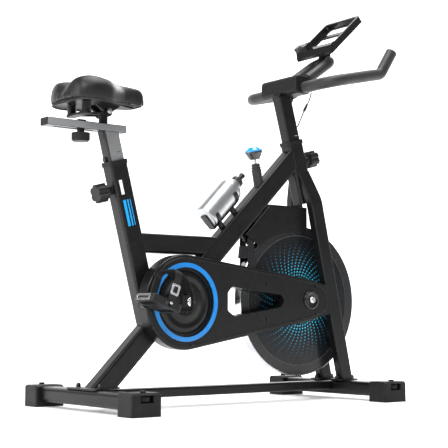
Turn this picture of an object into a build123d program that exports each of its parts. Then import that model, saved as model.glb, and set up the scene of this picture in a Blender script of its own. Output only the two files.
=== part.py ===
from build123d import *
import os
from math import atan2, cos, hypot, radians, sin, tan

# Exercise bike, millimetres. +X points forward, towards the handlebar; +Y is the rider's left;
# +Z is up and the floor is Z = 0. The origin is the middle of the footprint, on the floor.

# ---- Driving dimensions -------------------------------------------------------------------------
X_CRANK = -146.0            # crank axle
Z_CRANK = 291.0
X_WHEEL = X_CRANK + 467.0   # flywheel axle
Z_WHEEL = 302.0
WHEEL_R = 229.0
WHEEL_WIDTH = 28.0

TUBE_DEPTH = 58.0           # outer frame tube, fore and aft
TUBE_WIDTH = 46.0           # outer frame tube, across
TUBE_WALL = 2.0
TUBE_CORNER = 9.0
POST_DEPTH = 50.0           # sliding posts
POST_WIDTH = 38.0
POST_CORNER = 8.0
MAIN_DEPTH = 60.0

MAIN_LEAN = -45.2           # degrees back from upright; negative leans forward
SEAT_LEAN = 14.7
HEAD_LEAN = 15.6
FORK_LEAN = 12.65
KNOB_LEAN = 11.0
X_SEAT_TUBE = -337.0        # seat tube axis at Z_SEAT_TOP
Z_SEAT_TOP = 660.0
X_HEAD = 312.0              # head tube axis at Z_HEAD
Z_HEAD = 768.0

STAB_DEPTH = 60.0           # floor stabilisers
STAB_HEIGHT = 42.0
STAB_Z0 = 14.0
STAB_CORNER = 11.0
X_REAR = X_CRANK - 269.0
X_FRONT = X_CRANK + 627.0
REAR_HALF = 276.0
FRONT_HALF = 265.0
CAP_X = 90.0
CAP_Y = 70.0
CAP_Z = 60.0

FACE_Y = 70.0               # near face of the belt cover
COVER_R = 133.0
RING_R = 110.0
RING_W = 13.0
PULLEY_R = 100.0
SMALL_PULLEY_R = 28.0
BELT_Y0 = 34.0
BELT_Y1 = 50.0
CRANK_LEN = 147.0
CRANK_DROP = 2.0            # degrees that the right crank points below level, rearward
PEDAL_Y = 145.0
PEDAL_PITCH = 20.0

BAR_X = 290.0               # handlebar cross tube
BAR_Z = 948.0
BAR_HALF = 201.0
BAR_R = 12.5
GRIP_R = 17.5

RAIL_X0 = -561.0
RAIL_LEN = 247.0
RAIL_Z0 = 755.0
RAIL_HEIGHT = 21.0
RAIL_WIDTH = 41.0
SADDLE_X = -378.0           # saddle stub
SADDLE_PIVOT_Z = 808.0


def leaning(x, z, lean, y=0.0):
    """Plane with +Z up a tube that leans back by lean degrees, +X ahead of it and +Y across."""
    tilt = radians(lean)
    return Plane(origin=(x, y, z), x_dir=(cos(tilt), 0, sin(tilt)), z_dir=(-sin(tilt), 0, cos(tilt)))


def side_plane(y):
    """Plane facing +Y at the given height across: its X runs forward and its Y runs up, mirrored."""
    return Plane(origin=(0, y, 0), x_dir=(1, 0, 0), z_dir=(0, -1, 0))


def axis_x(x0, z0, lean, z):
    """X of a leaning tube's centre line at height z."""
    return x0 - (z - z0) * tan(radians(lean))


def save(piece, label):
    piece.part.label = label
    export_step(piece.part, f"parts/{label}.step")


os.makedirs("parts", exist_ok=True)

# ---- Frame tubes -------------------------------------------------------------------------------
Z_HEAD_TOP = 780.0
Z_HEAD_BOTTOM = 604.0
Z_COLLAR = 672.0
PLATE_Z0 = STAB_Z0 + STAB_HEIGHT
PLATE_T = 5.0
MAIN_END = 641.0
MAIN_START = -360.0
BB_R = 21.0
BB_HALF = 31.0

with BuildPart() as main_solid:
    with BuildSketch(leaning(X_CRANK, Z_CRANK, MAIN_LEAN)):
        RectangleRounded(MAIN_DEPTH, TUBE_WIDTH, TUBE_CORNER)
    extrude(amount=MAIN_END)
    with BuildSketch(leaning(X_CRANK, Z_CRANK, MAIN_LEAN)):
        RectangleRounded(MAIN_DEPTH, TUBE_WIDTH, TUBE_CORNER)
    extrude(amount=MAIN_START)

with BuildPart() as head_solid:
    with BuildSketch(leaning(X_HEAD, Z_HEAD, HEAD_LEAN)):
        RectangleRounded(TUBE_DEPTH, TUBE_WIDTH, TUBE_CORNER)
    extrude(amount=20)
    with BuildSketch(leaning(X_HEAD, Z_HEAD, HEAD_LEAN)):
        RectangleRounded(TUBE_DEPTH, TUBE_WIDTH, TUBE_CORNER)
    extrude(amount=-170)

with BuildPart() as seat_solid:
    with BuildSketch(leaning(X_SEAT_TUBE, Z_SEAT_TOP, SEAT_LEAN)):
        RectangleRounded(TUBE_DEPTH, TUBE_WIDTH, TUBE_CORNER)
    extrude(amount=12)
    with BuildSketch(leaning(X_SEAT_TUBE, Z_SEAT_TOP, SEAT_LEAN)):
        RectangleRounded(TUBE_DEPTH, TUBE_WIDTH, TUBE_CORNER)
    extrude(amount=-470)

# Resistance unit: a sleeve on the main tube holds the knob's rod, which reaches down to the wheel.
X_SLEEVE = 169.0
Z_SLEEVE = 677.0
ROD_R = 4.0
X_YOKE = 128.0              # pivot of the magnet yoke
Z_YOKE = 482.0
YOKE_PIN_R = 4.0

with BuildPart() as main_tube:
    add(main_solid.part)
    with BuildSketch(leaning(X_CRANK, Z_CRANK, MAIN_LEAN)):
        RectangleRounded(MAIN_DEPTH - 2 * TUBE_WALL, TUBE_WIDTH - 2 * TUBE_WALL, TUBE_CORNER - TUBE_WALL)
    extrude(amount=MAIN_END, both=True, mode=Mode.SUBTRACT)
    # lug under the tube for the magnet yoke
    with BuildSketch(side_plane(6)):
        with BuildLine():
            Polyline((X_YOKE - 12, Z_YOKE), (X_YOKE - 26, 496.5), (X_YOKE + 20, 542), (X_YOKE + 12, Z_YOKE),
                     close=True)
        make_face()
        with Locations((X_YOKE, Z_YOKE)):
            Circle(12)
    extrude(amount=12)
    with BuildSketch(side_plane(6)):
        with Locations((X_YOKE, Z_YOKE)):
            Circle(YOKE_PIN_R + 0.06)
    extrude(amount=12, mode=Mode.SUBTRACT)
    add(head_solid.part, mode=Mode.SUBTRACT)
    with BuildSketch(side_plane(TUBE_WIDTH)):
        with Locations((X_CRANK, Z_CRANK)):
            Circle(BB_R)
    extrude(amount=2 * TUBE_WIDTH, mode=Mode.SUBTRACT)
    with BuildSketch(leaning(X_SLEEVE, Z_SLEEVE, KNOB_LEAN)):
        Circle(ROD_R + 1.5)
    extrude(amount=160, both=True, mode=Mode.SUBTRACT)
    split(bisect_by=Plane.XY.offset(PLATE_Z0 + PLATE_T), keep=Keep.TOP)
    # foot plate on the rear stabiliser
    with BuildSketch(Plane.XY.offset(PLATE_Z0)):
        with Locations((X_REAR, 0)):
            RectangleRounded(STAB_DEPTH - 4, 150, 8)
        with Locations((X_REAR + 44, 0)):
            RectangleRounded(80, TUBE_WIDTH + 4, 6)
        with Locations((X_REAR, 55), (X_REAR, -55)):
            Circle(5.2, mode=Mode.SUBTRACT)
    extrude(amount=PLATE_T)
save(main_tube, "main_tube")

with BuildPart() as head_tube:
    add(head_solid.part)
    with BuildSketch(leaning(X_HEAD, Z_HEAD, HEAD_LEAN)):
        RectangleRounded(TUBE_DEPTH - 2 * TUBE_WALL, TUBE_WIDTH - 2 * TUBE_WALL, TUBE_CORNER - TUBE_WALL)
    extrude(amount=190, both=True, mode=Mode.SUBTRACT)
    # threaded boss for the clamp knob
    with BuildSketch(Plane(origin=leaning(X_HEAD, Z_HEAD, HEAD_LEAN).from_local_coords(
            (TUBE_DEPTH / 2 - 1, 0, -43)),
                           z_dir=leaning(X_HEAD, Z_HEAD, HEAD_LEAN).x_dir)):
        Circle(11)
        Circle(5.1, mode=Mode.SUBTRACT)
    extrude(amount=9)
    with BuildSketch(Plane(origin=leaning(X_HEAD, Z_HEAD, HEAD_LEAN).from_local_coords((0, 0, -43)),
                           z_dir=leaning(X_HEAD, Z_HEAD, HEAD_LEAN).x_dir)):
        Circle(5.1)
    extrude(amount=40, mode=Mode.SUBTRACT)
save(head_tube, "head_tube")

with BuildPart() as seat_tube:
    add(seat_solid.part)
    with BuildSketch(leaning(X_SEAT_TUBE, Z_SEAT_TOP, SEAT_LEAN)):
        RectangleRounded(TUBE_DEPTH - 2 * TUBE_WALL, TUBE_WIDTH - 2 * TUBE_WALL, TUBE_CORNER - TUBE_WALL)
    extrude(amount=500, both=True, mode=Mode.SUBTRACT)
    with BuildSketch(Plane(origin=leaning(X_SEAT_TUBE, Z_SEAT_TOP, SEAT_LEAN).from_local_coords(
            (1 - TUBE_DEPTH / 2, 0, -60)), z_dir=-leaning(X_SEAT_TUBE, Z_SEAT_TOP, SEAT_LEAN).x_dir)):
        Circle(11)
    extrude(amount=9)
    with BuildSketch(Plane(origin=leaning(X_SEAT_TUBE, Z_SEAT_TOP, SEAT_LEAN).from_local_coords(
            (0, 0, -60)), z_dir=-leaning(X_SEAT_TUBE, Z_SEAT_TOP, SEAT_LEAN).x_dir)):
        Circle(5.1)
    extrude(amount=40, mode=Mode.SUBTRACT)
    add(main_solid.part, mode=Mode.SUBTRACT)
    # the stub left below the main tube's upper face is cut away
    split(bisect_by=Plane(origin=(X_CRANK, 0, Z_CRANK), z_dir=(-0.7046, 0, 0.7096)), keep=Keep.TOP)
save(seat_tube, "seat_tube")

BRACE_Z = 455.0
BRACE_HEIGHT = 55.0
with BuildPart() as brace_tube:
    with BuildSketch(Plane(origin=(-300, 0, BRACE_Z), x_dir=(0, 1, 0), z_dir=(1, 0, 0))):
        RectangleRounded(TUBE_WIDTH - 4, BRACE_HEIGHT, TUBE_CORNER)
        RectangleRounded(TUBE_WIDTH - 4 - 2 * TUBE_WALL, BRACE_HEIGHT - 2 * TUBE_WALL, TUBE_CORNER - TUBE_WALL,
                         mode=Mode.SUBTRACT)
    extrude(amount=320)
    add(seat_solid.part, mode=Mode.SUBTRACT)
    add(main_solid.part, mode=Mode.SUBTRACT)
    split(bisect_by=Plane(origin=(X_CRANK, 0, Z_CRANK), z_dir=(-0.7046, 0, 0.7096)), keep=Keep.TOP)
save(brace_tube, "brace_tube")

with BuildPart() as bottom_bracket_shell:
    with BuildSketch(side_plane(BB_HALF)):
        with Locations((X_CRANK, Z_CRANK)):
            Circle(BB_R - 0.02)
            Circle(17.03, mode=Mode.SUBTRACT)
    extrude(amount=2 * BB_HALF)
save(bottom_bracket_shell, "bottom_bracket_shell")

# ---- Fork legs ---------------------------------------------------------------------------------
FORK_DEPTH = 46.0
FORK_IN = 32.0
FORK_OUT = 60.0
X_FORK = 358.6              # leg centre line at Z_FORK
Z_FORK = 606.0
FORK_TOP = 96.0             # along the leg, above Z_FORK
FORK_FOOT = -570.0
DROPOUT_T = 6.0

fork_solids = []
for side, label in ((-1, "fork_leg_right"), (1, "fork_leg_left")):
    with BuildPart() as fork_leg:
        tilt = radians(FORK_LEAN)
        # sketch plane holds the leg's own length and the direction across
        leg_plane = Plane(origin=(X_FORK, 0, Z_FORK), x_dir=(0, side, 0), z_dir=(side * cos(tilt), 0, side * sin(tilt)))
        with BuildSketch(leg_plane) as leg_outline:
            with BuildLine():
                Polyline((FORK_IN, FORK_FOOT), (FORK_OUT, FORK_FOOT), (FORK_OUT, 4), (TUBE_WIDTH / 2, FORK_TOP),
                         (TUBE_WIDTH / 2, 24), (FORK_IN, 0), close=True)
            make_face()
            fillet(leg_outline.vertices().sort_by(Axis.Y)[2:3], 60)
            fillet(leg_outline.vertices().filter_by(lambda v: abs(v.X - FORK_OUT) < 1 and v.Y > 0), 90)
        extrude(amount=FORK_DEPTH / 2, both=True)
        fillet(fork_leg.edges().filter_by(lambda e: e.length > 400), 5)
        with BuildSketch(leg_plane):
            with Locations(((FORK_IN + FORK_OUT) / 2, FORK_FOOT / 2 - 30)):
                Rectangle(FORK_OUT - FORK_IN - 2 * TUBE_WALL, -FORK_FOOT - 60)
        extrude(amount=FORK_DEPTH / 2 - TUBE_WALL, both=True, mode=Mode.SUBTRACT)
        split(bisect_by=Plane.XY.offset(PLATE_Z0 + PLATE_T), keep=Keep.TOP)
        # foot plate on the front stabiliser
        with BuildSketch(Plane.XY.offset(PLATE_Z0)):
            with Locations((X_FRONT, side * (FORK_IN + FORK_OUT) / 2)):
                RectangleRounded(STAB_DEPTH + 18, FORK_OUT - FORK_IN + 18, 5)
        extrude(amount=PLATE_T)
        # axle plate reaches back from the leg
        with BuildSketch(side_plane(side * FORK_OUT if side > 0 else -(FORK_OUT - DROPOUT_T))):
            with Locations((X_WHEEL, Z_WHEEL)):
                Circle(27)
            with Locations((X_WHEEL + 42, Z_WHEEL)):
                Rectangle(90, 44)
            with Locations((X_WHEEL, Z_WHEEL)):
                Circle(6.1, mode=Mode.SUBTRACT)
        extrude(amount=DROPOUT_T)
    fork_solids.append(fork_leg.part)
    save(fork_leg, label)

# ---- Floor members -----------------------------------------------------------------------------
BASE_HALF = 22.0
with BuildPart() as base_tube:
    with BuildSketch(Plane(origin=(X_REAR + STAB_DEPTH / 2, 0, 0), x_dir=(0, 1, 0), z_dir=(1, 0, 0))):
        with Locations((0, 41)):
            RectangleRounded(2 * BASE_HALF, 27, 6)
            RectangleRounded(2 * BASE_HALF - 4, 23, 4, mode=Mode.SUBTRACT)
    extrude(amount=X_FRONT - X_REAR - STAB_DEPTH)
save(base_tube, "base_tube")

for x_mid, half, label in ((X_REAR, REAR_HALF, "rear_stabiliser"), (X_FRONT, FRONT_HALF, "front_stabiliser")):
    with BuildPart() as stabiliser:
        with BuildSketch(Plane(origin=(x_mid, half - 42, STAB_Z0 + STAB_HEIGHT / 2), x_dir=(1, 0, 0), z_dir=(0, -1, 0))):
            RectangleRounded(STAB_DEPTH, STAB_HEIGHT, STAB_CORNER)
            RectangleRounded(STAB_DEPTH - 4, STAB_HEIGHT - 4, STAB_CORNER - 2, mode=Mode.SUBTRACT)
        extrude(amount=2 * (half - 42))
    save(stabiliser, label)

# End caps: a socket for the tube, and a slot outboard of it for the levelling wheel.
SLOT_Z0 = 35.0
SLOT_Z1 = 53.0
FOOT_WHEEL_R = 18.0
FOOT_IN = 19.5              # wheel centre, in from the cap's outer face
FOOT_STEM_R = 4.0
SOCKET = 28.2
CAP_SPOTS = [(X_REAR, REAR_HALF, "rear"), (X_FRONT, FRONT_HALF, "front")]

with BuildPart() as end_caps:
    for x_mid, half, name in CAP_SPOTS:
        for side in (-1, 1):
            with BuildSketch(Plane.XY):
                with Locations((x_mid, side * (half - CAP_Y / 2))):
                    RectangleRounded(CAP_X, CAP_Y, 6)
            extrude(amount=CAP_Z)
    chamfer(end_caps.edges().filter_by_position(Axis.Z, CAP_Z - 0.1, CAP_Z + 0.1), 5)
    for x_mid, half, name in CAP_SPOTS:
        for side in (-1, 1):
            with BuildSketch(Plane(origin=(x_mid, side * (half - CAP_Y), STAB_Z0 + STAB_HEIGHT / 2),
                                   x_dir=(1, 0, 0), z_dir=(0, side, 0))):
                RectangleRounded(STAB_DEPTH + 0.2, STAB_HEIGHT + 0.2, STAB_CORNER)
            extrude(amount=SOCKET, mode=Mode.SUBTRACT)
            with BuildSketch(Plane.XY.offset(SLOT_Z0)):
                with Locations((x_mid, side * (half - 9))):
                    Rectangle(2 * FOOT_WHEEL_R + 4, 59)
            extrude(amount=SLOT_Z1 - SLOT_Z0, mode=Mode.SUBTRACT)
            with BuildSketch(Plane.XY):
                with Locations((x_mid, side * (half - FOOT_IN))):
                    Circle(FOOT_STEM_R + 0.3)
            extrude(amount=CAP_Z, mode=Mode.SUBTRACT)
            with BuildSketch(Plane.XY):
                with Locations((x_mid, side * (half - FOOT_IN))):
                    Circle(14)
            extrude(amount=6, mode=Mode.SUBTRACT)
save(end_caps, "end_caps")

for x_mid, half, name in CAP_SPOTS:
    for side, hand in ((-1, "right"), (1, "left")):
        with BuildPart() as leveller:
            with BuildSketch(Plane.XY.offset(38)):
                with Locations((x_mid, side * (half - FOOT_IN))):
                    Circle(FOOT_WHEEL_R)
                with Locations((x_mid, side * (half - FOOT_IN))):
                    with PolarLocations(FOOT_WHEEL_R + 1.2, 16):
                        Circle(2.2, mode=Mode.SUBTRACT)
            extrude(amount=12)
            with BuildSketch(Plane.XY.offset(0)):
                with Locations((x_mid, side * (half - FOOT_IN))):
                    Circle(FOOT_STEM_R)
            extrude(amount=CAP_Z + 3)
            with BuildSketch(Plane.XY):
                with Locations((x_mid, side * (half - FOOT_IN))):
                    Circle(13)
            extrude(amount=4)
            with BuildSketch(Plane.XY.offset(CAP_Z + 0.4)):
                with Locations((x_mid, side * (half - FOOT_IN))):
                    Circle(8)
            extrude(amount=5)
            fillet(leveller.edges().sort_by(Axis.Z)[-1], 2)
        save(leveller, f"leveller_{name}_{hand}")

# ---- Belt drive cover ----------------------------------------------------------------------------
COVER_T = 2.5
COVER_IN_Y = 31.0
COVER_NOSE_R = 62.0
X_COVER_END = 386.0
DISH_R = RING_R - RING_W
WINDOW = [(2, 268), (2, 319), (17, 337), (202, 316), (217, 299), (202, 279), (27, 252)]


def wrap_outline(r1, r2):
    """Face of a belt's outline: circles r1 round the crank and r2 round the wheel, and their tangents."""
    rise = Z_WHEEL - Z_CRANK
    run = X_WHEEL - X_CRANK
    heading = atan2(rise, run)
    fan = atan2((hypot(run, rise) ** 2 - (r1 - r2) ** 2) ** 0.5, r1 - r2)
    corners = []
    for x, z, r, turn in ((X_CRANK, Z_CRANK, r1, fan), (X_WHEEL, Z_WHEEL, r2, fan),
                          (X_WHEEL, Z_WHEEL, r2, -fan), (X_CRANK, Z_CRANK, r1, -fan)):
        corners.append((x + r * cos(heading + turn), z + r * sin(heading + turn)))
    with BuildSketch() as wrap:
        with BuildLine():
            Line(corners[0], corners[1])
            ThreePointArc(corners[1], (X_WHEEL + r2 * cos(heading), Z_WHEEL + r2 * sin(heading)), corners[2])
            Line(corners[2], corners[3])
            ThreePointArc(corners[3], (X_CRANK - r1 * cos(heading), Z_CRANK - r1 * sin(heading)), corners[0])
        make_face()
    return wrap.sketch


def cover_outline(grow=0.0):
    """The cover's outline: round the crank and blunt at the fork leg."""
    with BuildSketch() as outline:
        add(wrap_outline(COVER_R + grow, COVER_NOSE_R + grow))
        with BuildLine():
            Polyline((X_WHEEL, Z_WHEEL + COVER_NOSE_R - 6), (X_COVER_END, Z_WHEEL + COVER_NOSE_R - 16),
                     (X_COVER_END + 22, Z_WHEEL - COVER_NOSE_R + 22), (X_WHEEL, Z_WHEEL - COVER_NOSE_R + 6), close=True)
        make_face()
    return outline.sketch


def window(grow=0.0):
    """The rounded triangle through the cover."""
    with BuildSketch() as opening:
        with BuildLine():
            Polyline(*WINDOW, close=True)
        make_face()
        fillet(opening.vertices(), 9)
        if grow:
            offset(amount=grow)
    return opening.sketch


with BuildPart() as belt_cover_outer:
    with BuildSketch(side_plane(-COVER_IN_Y)):
        add(cover_outline())
    extrude(amount=FACE_Y - COVER_IN_Y)
    face_edges = belt_cover_outer.faces().sort_by(Axis.Y)[0].outer_wire().edges()
    fillet(face_edges.filter_by(lambda e: e.center().X < X_WHEEL), 6)
    with BuildSketch(side_plane(-COVER_IN_Y + 1)):
        add(cover_outline(-COVER_T))
    extrude(amount=FACE_Y - COVER_IN_Y - COVER_T + 1, mode=Mode.SUBTRACT)
    # wall round the window
    with BuildSketch(side_plane(-COVER_IN_Y)):
        add(window(COVER_T))
    extrude(amount=FACE_Y - COVER_IN_Y - 1)
    with BuildSketch(side_plane(-COVER_IN_Y + 2)):
        add(window())
    extrude(amount=FACE_Y, mode=Mode.SUBTRACT)
    # open front end, for the axle plate of the fork
    with BuildSketch(side_plane(-COVER_IN_Y + 1)):
        with Locations((X_COVER_END + 8, Z_WHEEL)):
            Rectangle(34, 82)
    extrude(amount=FACE_Y - COVER_IN_Y - COVER_T + 1, mode=Mode.SUBTRACT)
    # dished middle inside the ring, and the crank and axle holes
    with BuildSketch(side_plane(-FACE_Y + 9)):
        with Locations((X_CRANK, Z_CRANK)):
            Circle(DISH_R + 2)
    extrude(amount=8)
    with BuildSketch(side_plane(-FACE_Y + 7)):
        with Locations((X_CRANK, Z_CRANK)):
            Circle(DISH_R)
    extrude(amount=12, taper=-20, mode=Mode.SUBTRACT)
    with BuildSketch(side_plane(-FACE_Y + 1.2)):
        with Locations((X_CRANK, Z_CRANK)):
            Circle(RING_R + 0.1)
    extrude(amount=3, mode=Mode.SUBTRACT)
    with BuildSketch(side_plane(-COVER_IN_Y)):
        with Locations((X_CRANK, Z_CRANK)):
            Circle(24)
        with Locations((X_WHEEL, Z_WHEEL)):
            Circle(15)
    extrude(amount=FACE_Y, mode=Mode.SUBTRACT)
save(belt_cover_outer, "belt_cover_outer")

with BuildPart() as belt_cover_inner:
    with BuildSketch(side_plane(-COVER_IN_Y + 4)):
        add(cover_outline())
        with Locations((X_CRANK, Z_CRANK)):
            Circle(BB_R + 1, mode=Mode.SUBTRACT)
    extrude(amount=3.5)
    with BuildSketch(side_plane(-COVER_IN_Y + 5)):
        add(window())
        with Locations((X_WHEEL, Z_WHEEL)):
            Circle(34)
        with Locations((X_COVER_END + 22, Z_WHEEL)):
            Rectangle(48, 200)
    extrude(amount=6, mode=Mode.SUBTRACT)
save(belt_cover_inner, "belt_cover_inner")

with BuildPart() as cover_ring:
    with BuildSketch(side_plane(-FACE_Y + 1.1)):
        with Locations((X_CRANK, Z_CRANK)):
            Circle(RING_R)
            Circle(DISH_R + 0.2, mode=Mode.SUBTRACT)
    extrude(amount=3)
save(cover_ring, "cover_ring")

# ---- Crank, pulley and belt --------------------------------------------------------------------
AXLE_R = 10.0
ARM_Y = 76.0
ARM_T = 15.0
SPINDLE_R = 7.0

with BuildPart() as ball_bearings:
    with BuildSketch(side_plane(BB_HALF - 1)):
        with Locations((X_CRANK, Z_CRANK)):
            Circle(17)
            Circle(AXLE_R + 0.04, mode=Mode.SUBTRACT)
    extrude(amount=12)
    with BuildSketch(side_plane(-BB_HALF + 13)):
        with Locations((X_CRANK, Z_CRANK)):
            Circle(17)
            Circle(AXLE_R + 0.04, mode=Mode.SUBTRACT)
    extrude(amount=12)
    with BuildSketch(side_plane(23)):
        with Locations((X_WHEEL, Z_WHEEL)):
            Circle(16)
            Circle(6.02, mode=Mode.SUBTRACT)
    extrude(amount=10)
    with BuildSketch(side_plane(-13)):
        with Locations((X_WHEEL, Z_WHEEL)):
            Circle(16)
            Circle(6.02, mode=Mode.SUBTRACT)
    extrude(amount=10)
save(ball_bearings, "ball_bearings")

with BuildPart() as crank_axle:
    with BuildSketch(side_plane(ARM_Y + ARM_T)):
        with Locations((X_CRANK, Z_CRANK)):
            Circle(AXLE_R)
    extrude(amount=2 * (ARM_Y + ARM_T))
    with BuildSketch(side_plane(ARM_Y + ARM_T + 5)):
        with Locations((X_CRANK, Z_CRANK)):
            RegularPolygon(8.5, 6)
    extrude(amount=2 * (ARM_Y + ARM_T + 5))
    with BuildSketch(side_plane(ARM_Y + ARM_T)):
        with Locations((X_CRANK, Z_CRANK)):
            Circle(AXLE_R)
    extrude(amount=2 * (ARM_Y + ARM_T))
save(crank_axle, "crank_axle")

with BuildPart() as drive_pulley:
    with BuildSketch(side_plane(-BELT_Y0)):
        with Locations((X_CRANK, Z_CRANK)):
            Circle(PULLEY_R)
            Circle(PULLEY_R - 8, mode=Mode.SUBTRACT)
            Circle(20)
            Circle(AXLE_R + 0.02, mode=Mode.SUBTRACT)
    extrude(amount=BELT_Y1 - BELT_Y0)
    with BuildSketch(side_plane(-BELT_Y0 - 6)):
        with Locations((X_CRANK, Z_CRANK)):
            Circle(PULLEY_R - 4)
            Circle(16, mode=Mode.SUBTRACT)
            with PolarLocations(56, 5):
                Circle(20, mode=Mode.SUBTRACT)
    extrude(amount=5)
save(drive_pulley, "drive_pulley")


def arm_point(side):
    """Pedal axis of one side at rest: the right arm points rearward, the left one forward."""
    a = radians(CRANK_DROP)
    return X_CRANK + side * CRANK_LEN * cos(a), Z_CRANK + side * CRANK_LEN * sin(a)


with BuildPart() as crank_arms:
    for side in (-1, 1):
        x_pedal, z_pedal = arm_point(side)
        y_plane = side * ARM_Y if side < 0 else ARM_Y + ARM_T
        with BuildSketch(side_plane(y_plane)) as arm:
            with BuildLine():
                a = radians(CRANK_DROP)
                nx, nz = -sin(a), cos(a)
                Polyline((X_CRANK + 19 * nx, Z_CRANK + 19 * nz), (x_pedal + 13 * nx, z_pedal + 13 * nz),
                         (x_pedal - 13 * nx, z_pedal - 13 * nz), (X_CRANK - 19 * nx, Z_CRANK - 19 * nz), close=True)
            make_face()
            with Locations((X_CRANK, Z_CRANK)):
                Circle(19)
            with Locations((x_pedal, z_pedal)):
                Circle(13)
            with Locations((X_CRANK, Z_CRANK)):
                Circle(AXLE_R + 0.02, mode=Mode.SUBTRACT)
            with Locations((x_pedal, z_pedal)):
                Circle(SPINDLE_R + 0.02, mode=Mode.SUBTRACT)
        extrude(amount=ARM_T)
save(crank_arms, "crank_arms")

PEDAL_LEN = 100.0
PEDAL_W = 92.0
PEDAL_H = 22.0
CAGE_W = 64.0
STRAP_W = 20.0
STRAP_T = 3.0
HOOP_X = 8.0                # the hoop's centre, ahead of the spindle and above it
HOOP_Z = 10.0
HOOP_R = 86.0
STRAP_H = 150.0
STRAP_Z = HOOP_Z + HOOP_R - STRAP_H / 2
with BuildPart() as pedal_spindles:
    for side in (-1, 1):
        x_pedal, z_pedal = arm_point(side)
        y_start = side * ARM_Y
        with BuildSketch(Plane(origin=(x_pedal, y_start, z_pedal), x_dir=(1, 0, 0), z_dir=(0, side, 0))):
            Circle(SPINDLE_R)
        extrude(amount=PEDAL_Y + PEDAL_W / 2 - 8 - ARM_Y)
save(pedal_spindles, "pedal_spindles")

for side, hand in ((-1, "right"), (1, "left")):
    x_pedal, z_pedal = arm_point(side)
    tilt = radians(PEDAL_PITCH)
    pedal_plane = Plane(origin=(x_pedal, side * PEDAL_Y, z_pedal), x_dir=(cos(tilt), 0, -sin(tilt)),
                        z_dir=(sin(tilt), 0, cos(tilt)))
    cut_plane = Plane(origin=(x_pedal, side * PEDAL_Y, z_pedal), x_dir=(cos(tilt), 0, -sin(tilt)),
                      z_dir=(0, -1, 0))
    with BuildPart() as pedal:
        with BuildSketch(pedal_plane.offset(-PEDAL_H / 2)):
            RectangleRounded(PEDAL_LEN, PEDAL_W, 12)
            with Locations((30, 0), (-30, 0)):
                RectangleRounded(22, PEDAL_W - 26, 5, mode=Mode.SUBTRACT)
        extrude(amount=PEDAL_H)
        fillet(pedal.edges().filter_by(lambda e: e.length > 60 and abs((e % 0.5).Y) < 0.1), 3)
        with BuildSketch(cut_plane):
            Circle(SPINDLE_R + 0.05)
        extrude(amount=PEDAL_W, both=True, mode=Mode.SUBTRACT)
    save(pedal, f"pedal_{hand}")

    # toe cage: a hoop from the pedal's front end back over the toes, met by a strap round the foot
    with BuildPart() as toe_cage:
        with BuildSketch(cut_plane):
            with Locations((HOOP_X, HOOP_Z)):
                Circle(HOOP_R)
                Circle(HOOP_R - STRAP_T, mode=Mode.SUBTRACT)
            with Locations((HOOP_X - 100, 0)):
                Rectangle(200, 400, mode=Mode.SUBTRACT)
            with Locations((HOOP_X, HOOP_Z - 200)):
                Rectangle(400, 400, mode=Mode.SUBTRACT)
            with BuildLine():
                Polyline((PEDAL_LEN / 2, -9), (HOOP_X + HOOP_R, HOOP_Z), (HOOP_X + HOOP_R - STRAP_T, HOOP_Z),
                         (PEDAL_LEN / 2, -5), close=True)
            make_face()
        extrude(amount=CAGE_W / 2, both=True)
        with BuildSketch(pedal_plane.offset(22)):
            with Locations((HOOP_X + 70, 0)):
                RectangleRounded(80, CAGE_W - 26, 8)
        extrude(amount=36, mode=Mode.SUBTRACT)
        with BuildSketch(Plane(origin=pedal_plane.from_local_coords((HOOP_X, 0, 0)), x_dir=(0, 1, 0),
                               z_dir=pedal_plane.x_dir)):
            with Locations((0, STRAP_Z)):
                RectangleRounded(PEDAL_W + 2 * STRAP_T, STRAP_H, 22)
                RectangleRounded(PEDAL_W, STRAP_H - 2 * STRAP_T, 20, mode=Mode.SUBTRACT)
            with Locations((0, -108)):
                Rectangle(200, 200, mode=Mode.SUBTRACT)
        extrude(amount=STRAP_W / 2, both=True)
        # the strap stops short of the spindle
        with BuildSketch(cut_plane):
            with Locations((-6, 0)):
                Rectangle(28.4, 19)
        extrude(amount=PEDAL_W, both=True, mode=Mode.SUBTRACT)
    save(toe_cage, f"toe_cage_{hand}")

# ---- Flywheel ------------------------------------------------------------------------------------
with BuildPart() as flywheel:
    half = WHEEL_WIDTH / 2
    with BuildSketch(side_plane(half)):
        with Locations((X_WHEEL, Z_WHEEL)):
            Circle(WHEEL_R)
            Circle(16.05, mode=Mode.SUBTRACT)
    extrude(amount=WHEEL_WIDTH)
    for start in (half, -4):
        with BuildSketch(side_plane(start)):
            with Locations((X_WHEEL, Z_WHEEL)):
                Circle(199)
                Circle(34, mode=Mode.SUBTRACT)
        extrude(amount=half - 4, mode=Mode.SUBTRACT)
    with BuildSketch(side_plane(24)):
        with Locations((X_WHEEL, Z_WHEEL)):
            Circle(24)
            Circle(16.05, mode=Mode.SUBTRACT)
    extrude(amount=48)
    chamfer(flywheel.edges().filter_by(GeomType.CIRCLE).filter_by(lambda e: abs(e.radius - WHEEL_R) < 0.1), 1.5)
save(flywheel, "flywheel")

with BuildPart() as flywheel_side_discs:
    for start in (WHEEL_WIDTH / 2 - 0.5, -WHEEL_WIDTH / 2 + 2):
        with BuildSketch(side_plane(start)):
            with Locations((X_WHEEL, Z_WHEEL)):
                Circle(198.5)
                Circle(34.5, mode=Mode.SUBTRACT)
        extrude(amount=1.5)
save(flywheel_side_discs, "flywheel_side_discs")

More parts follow.
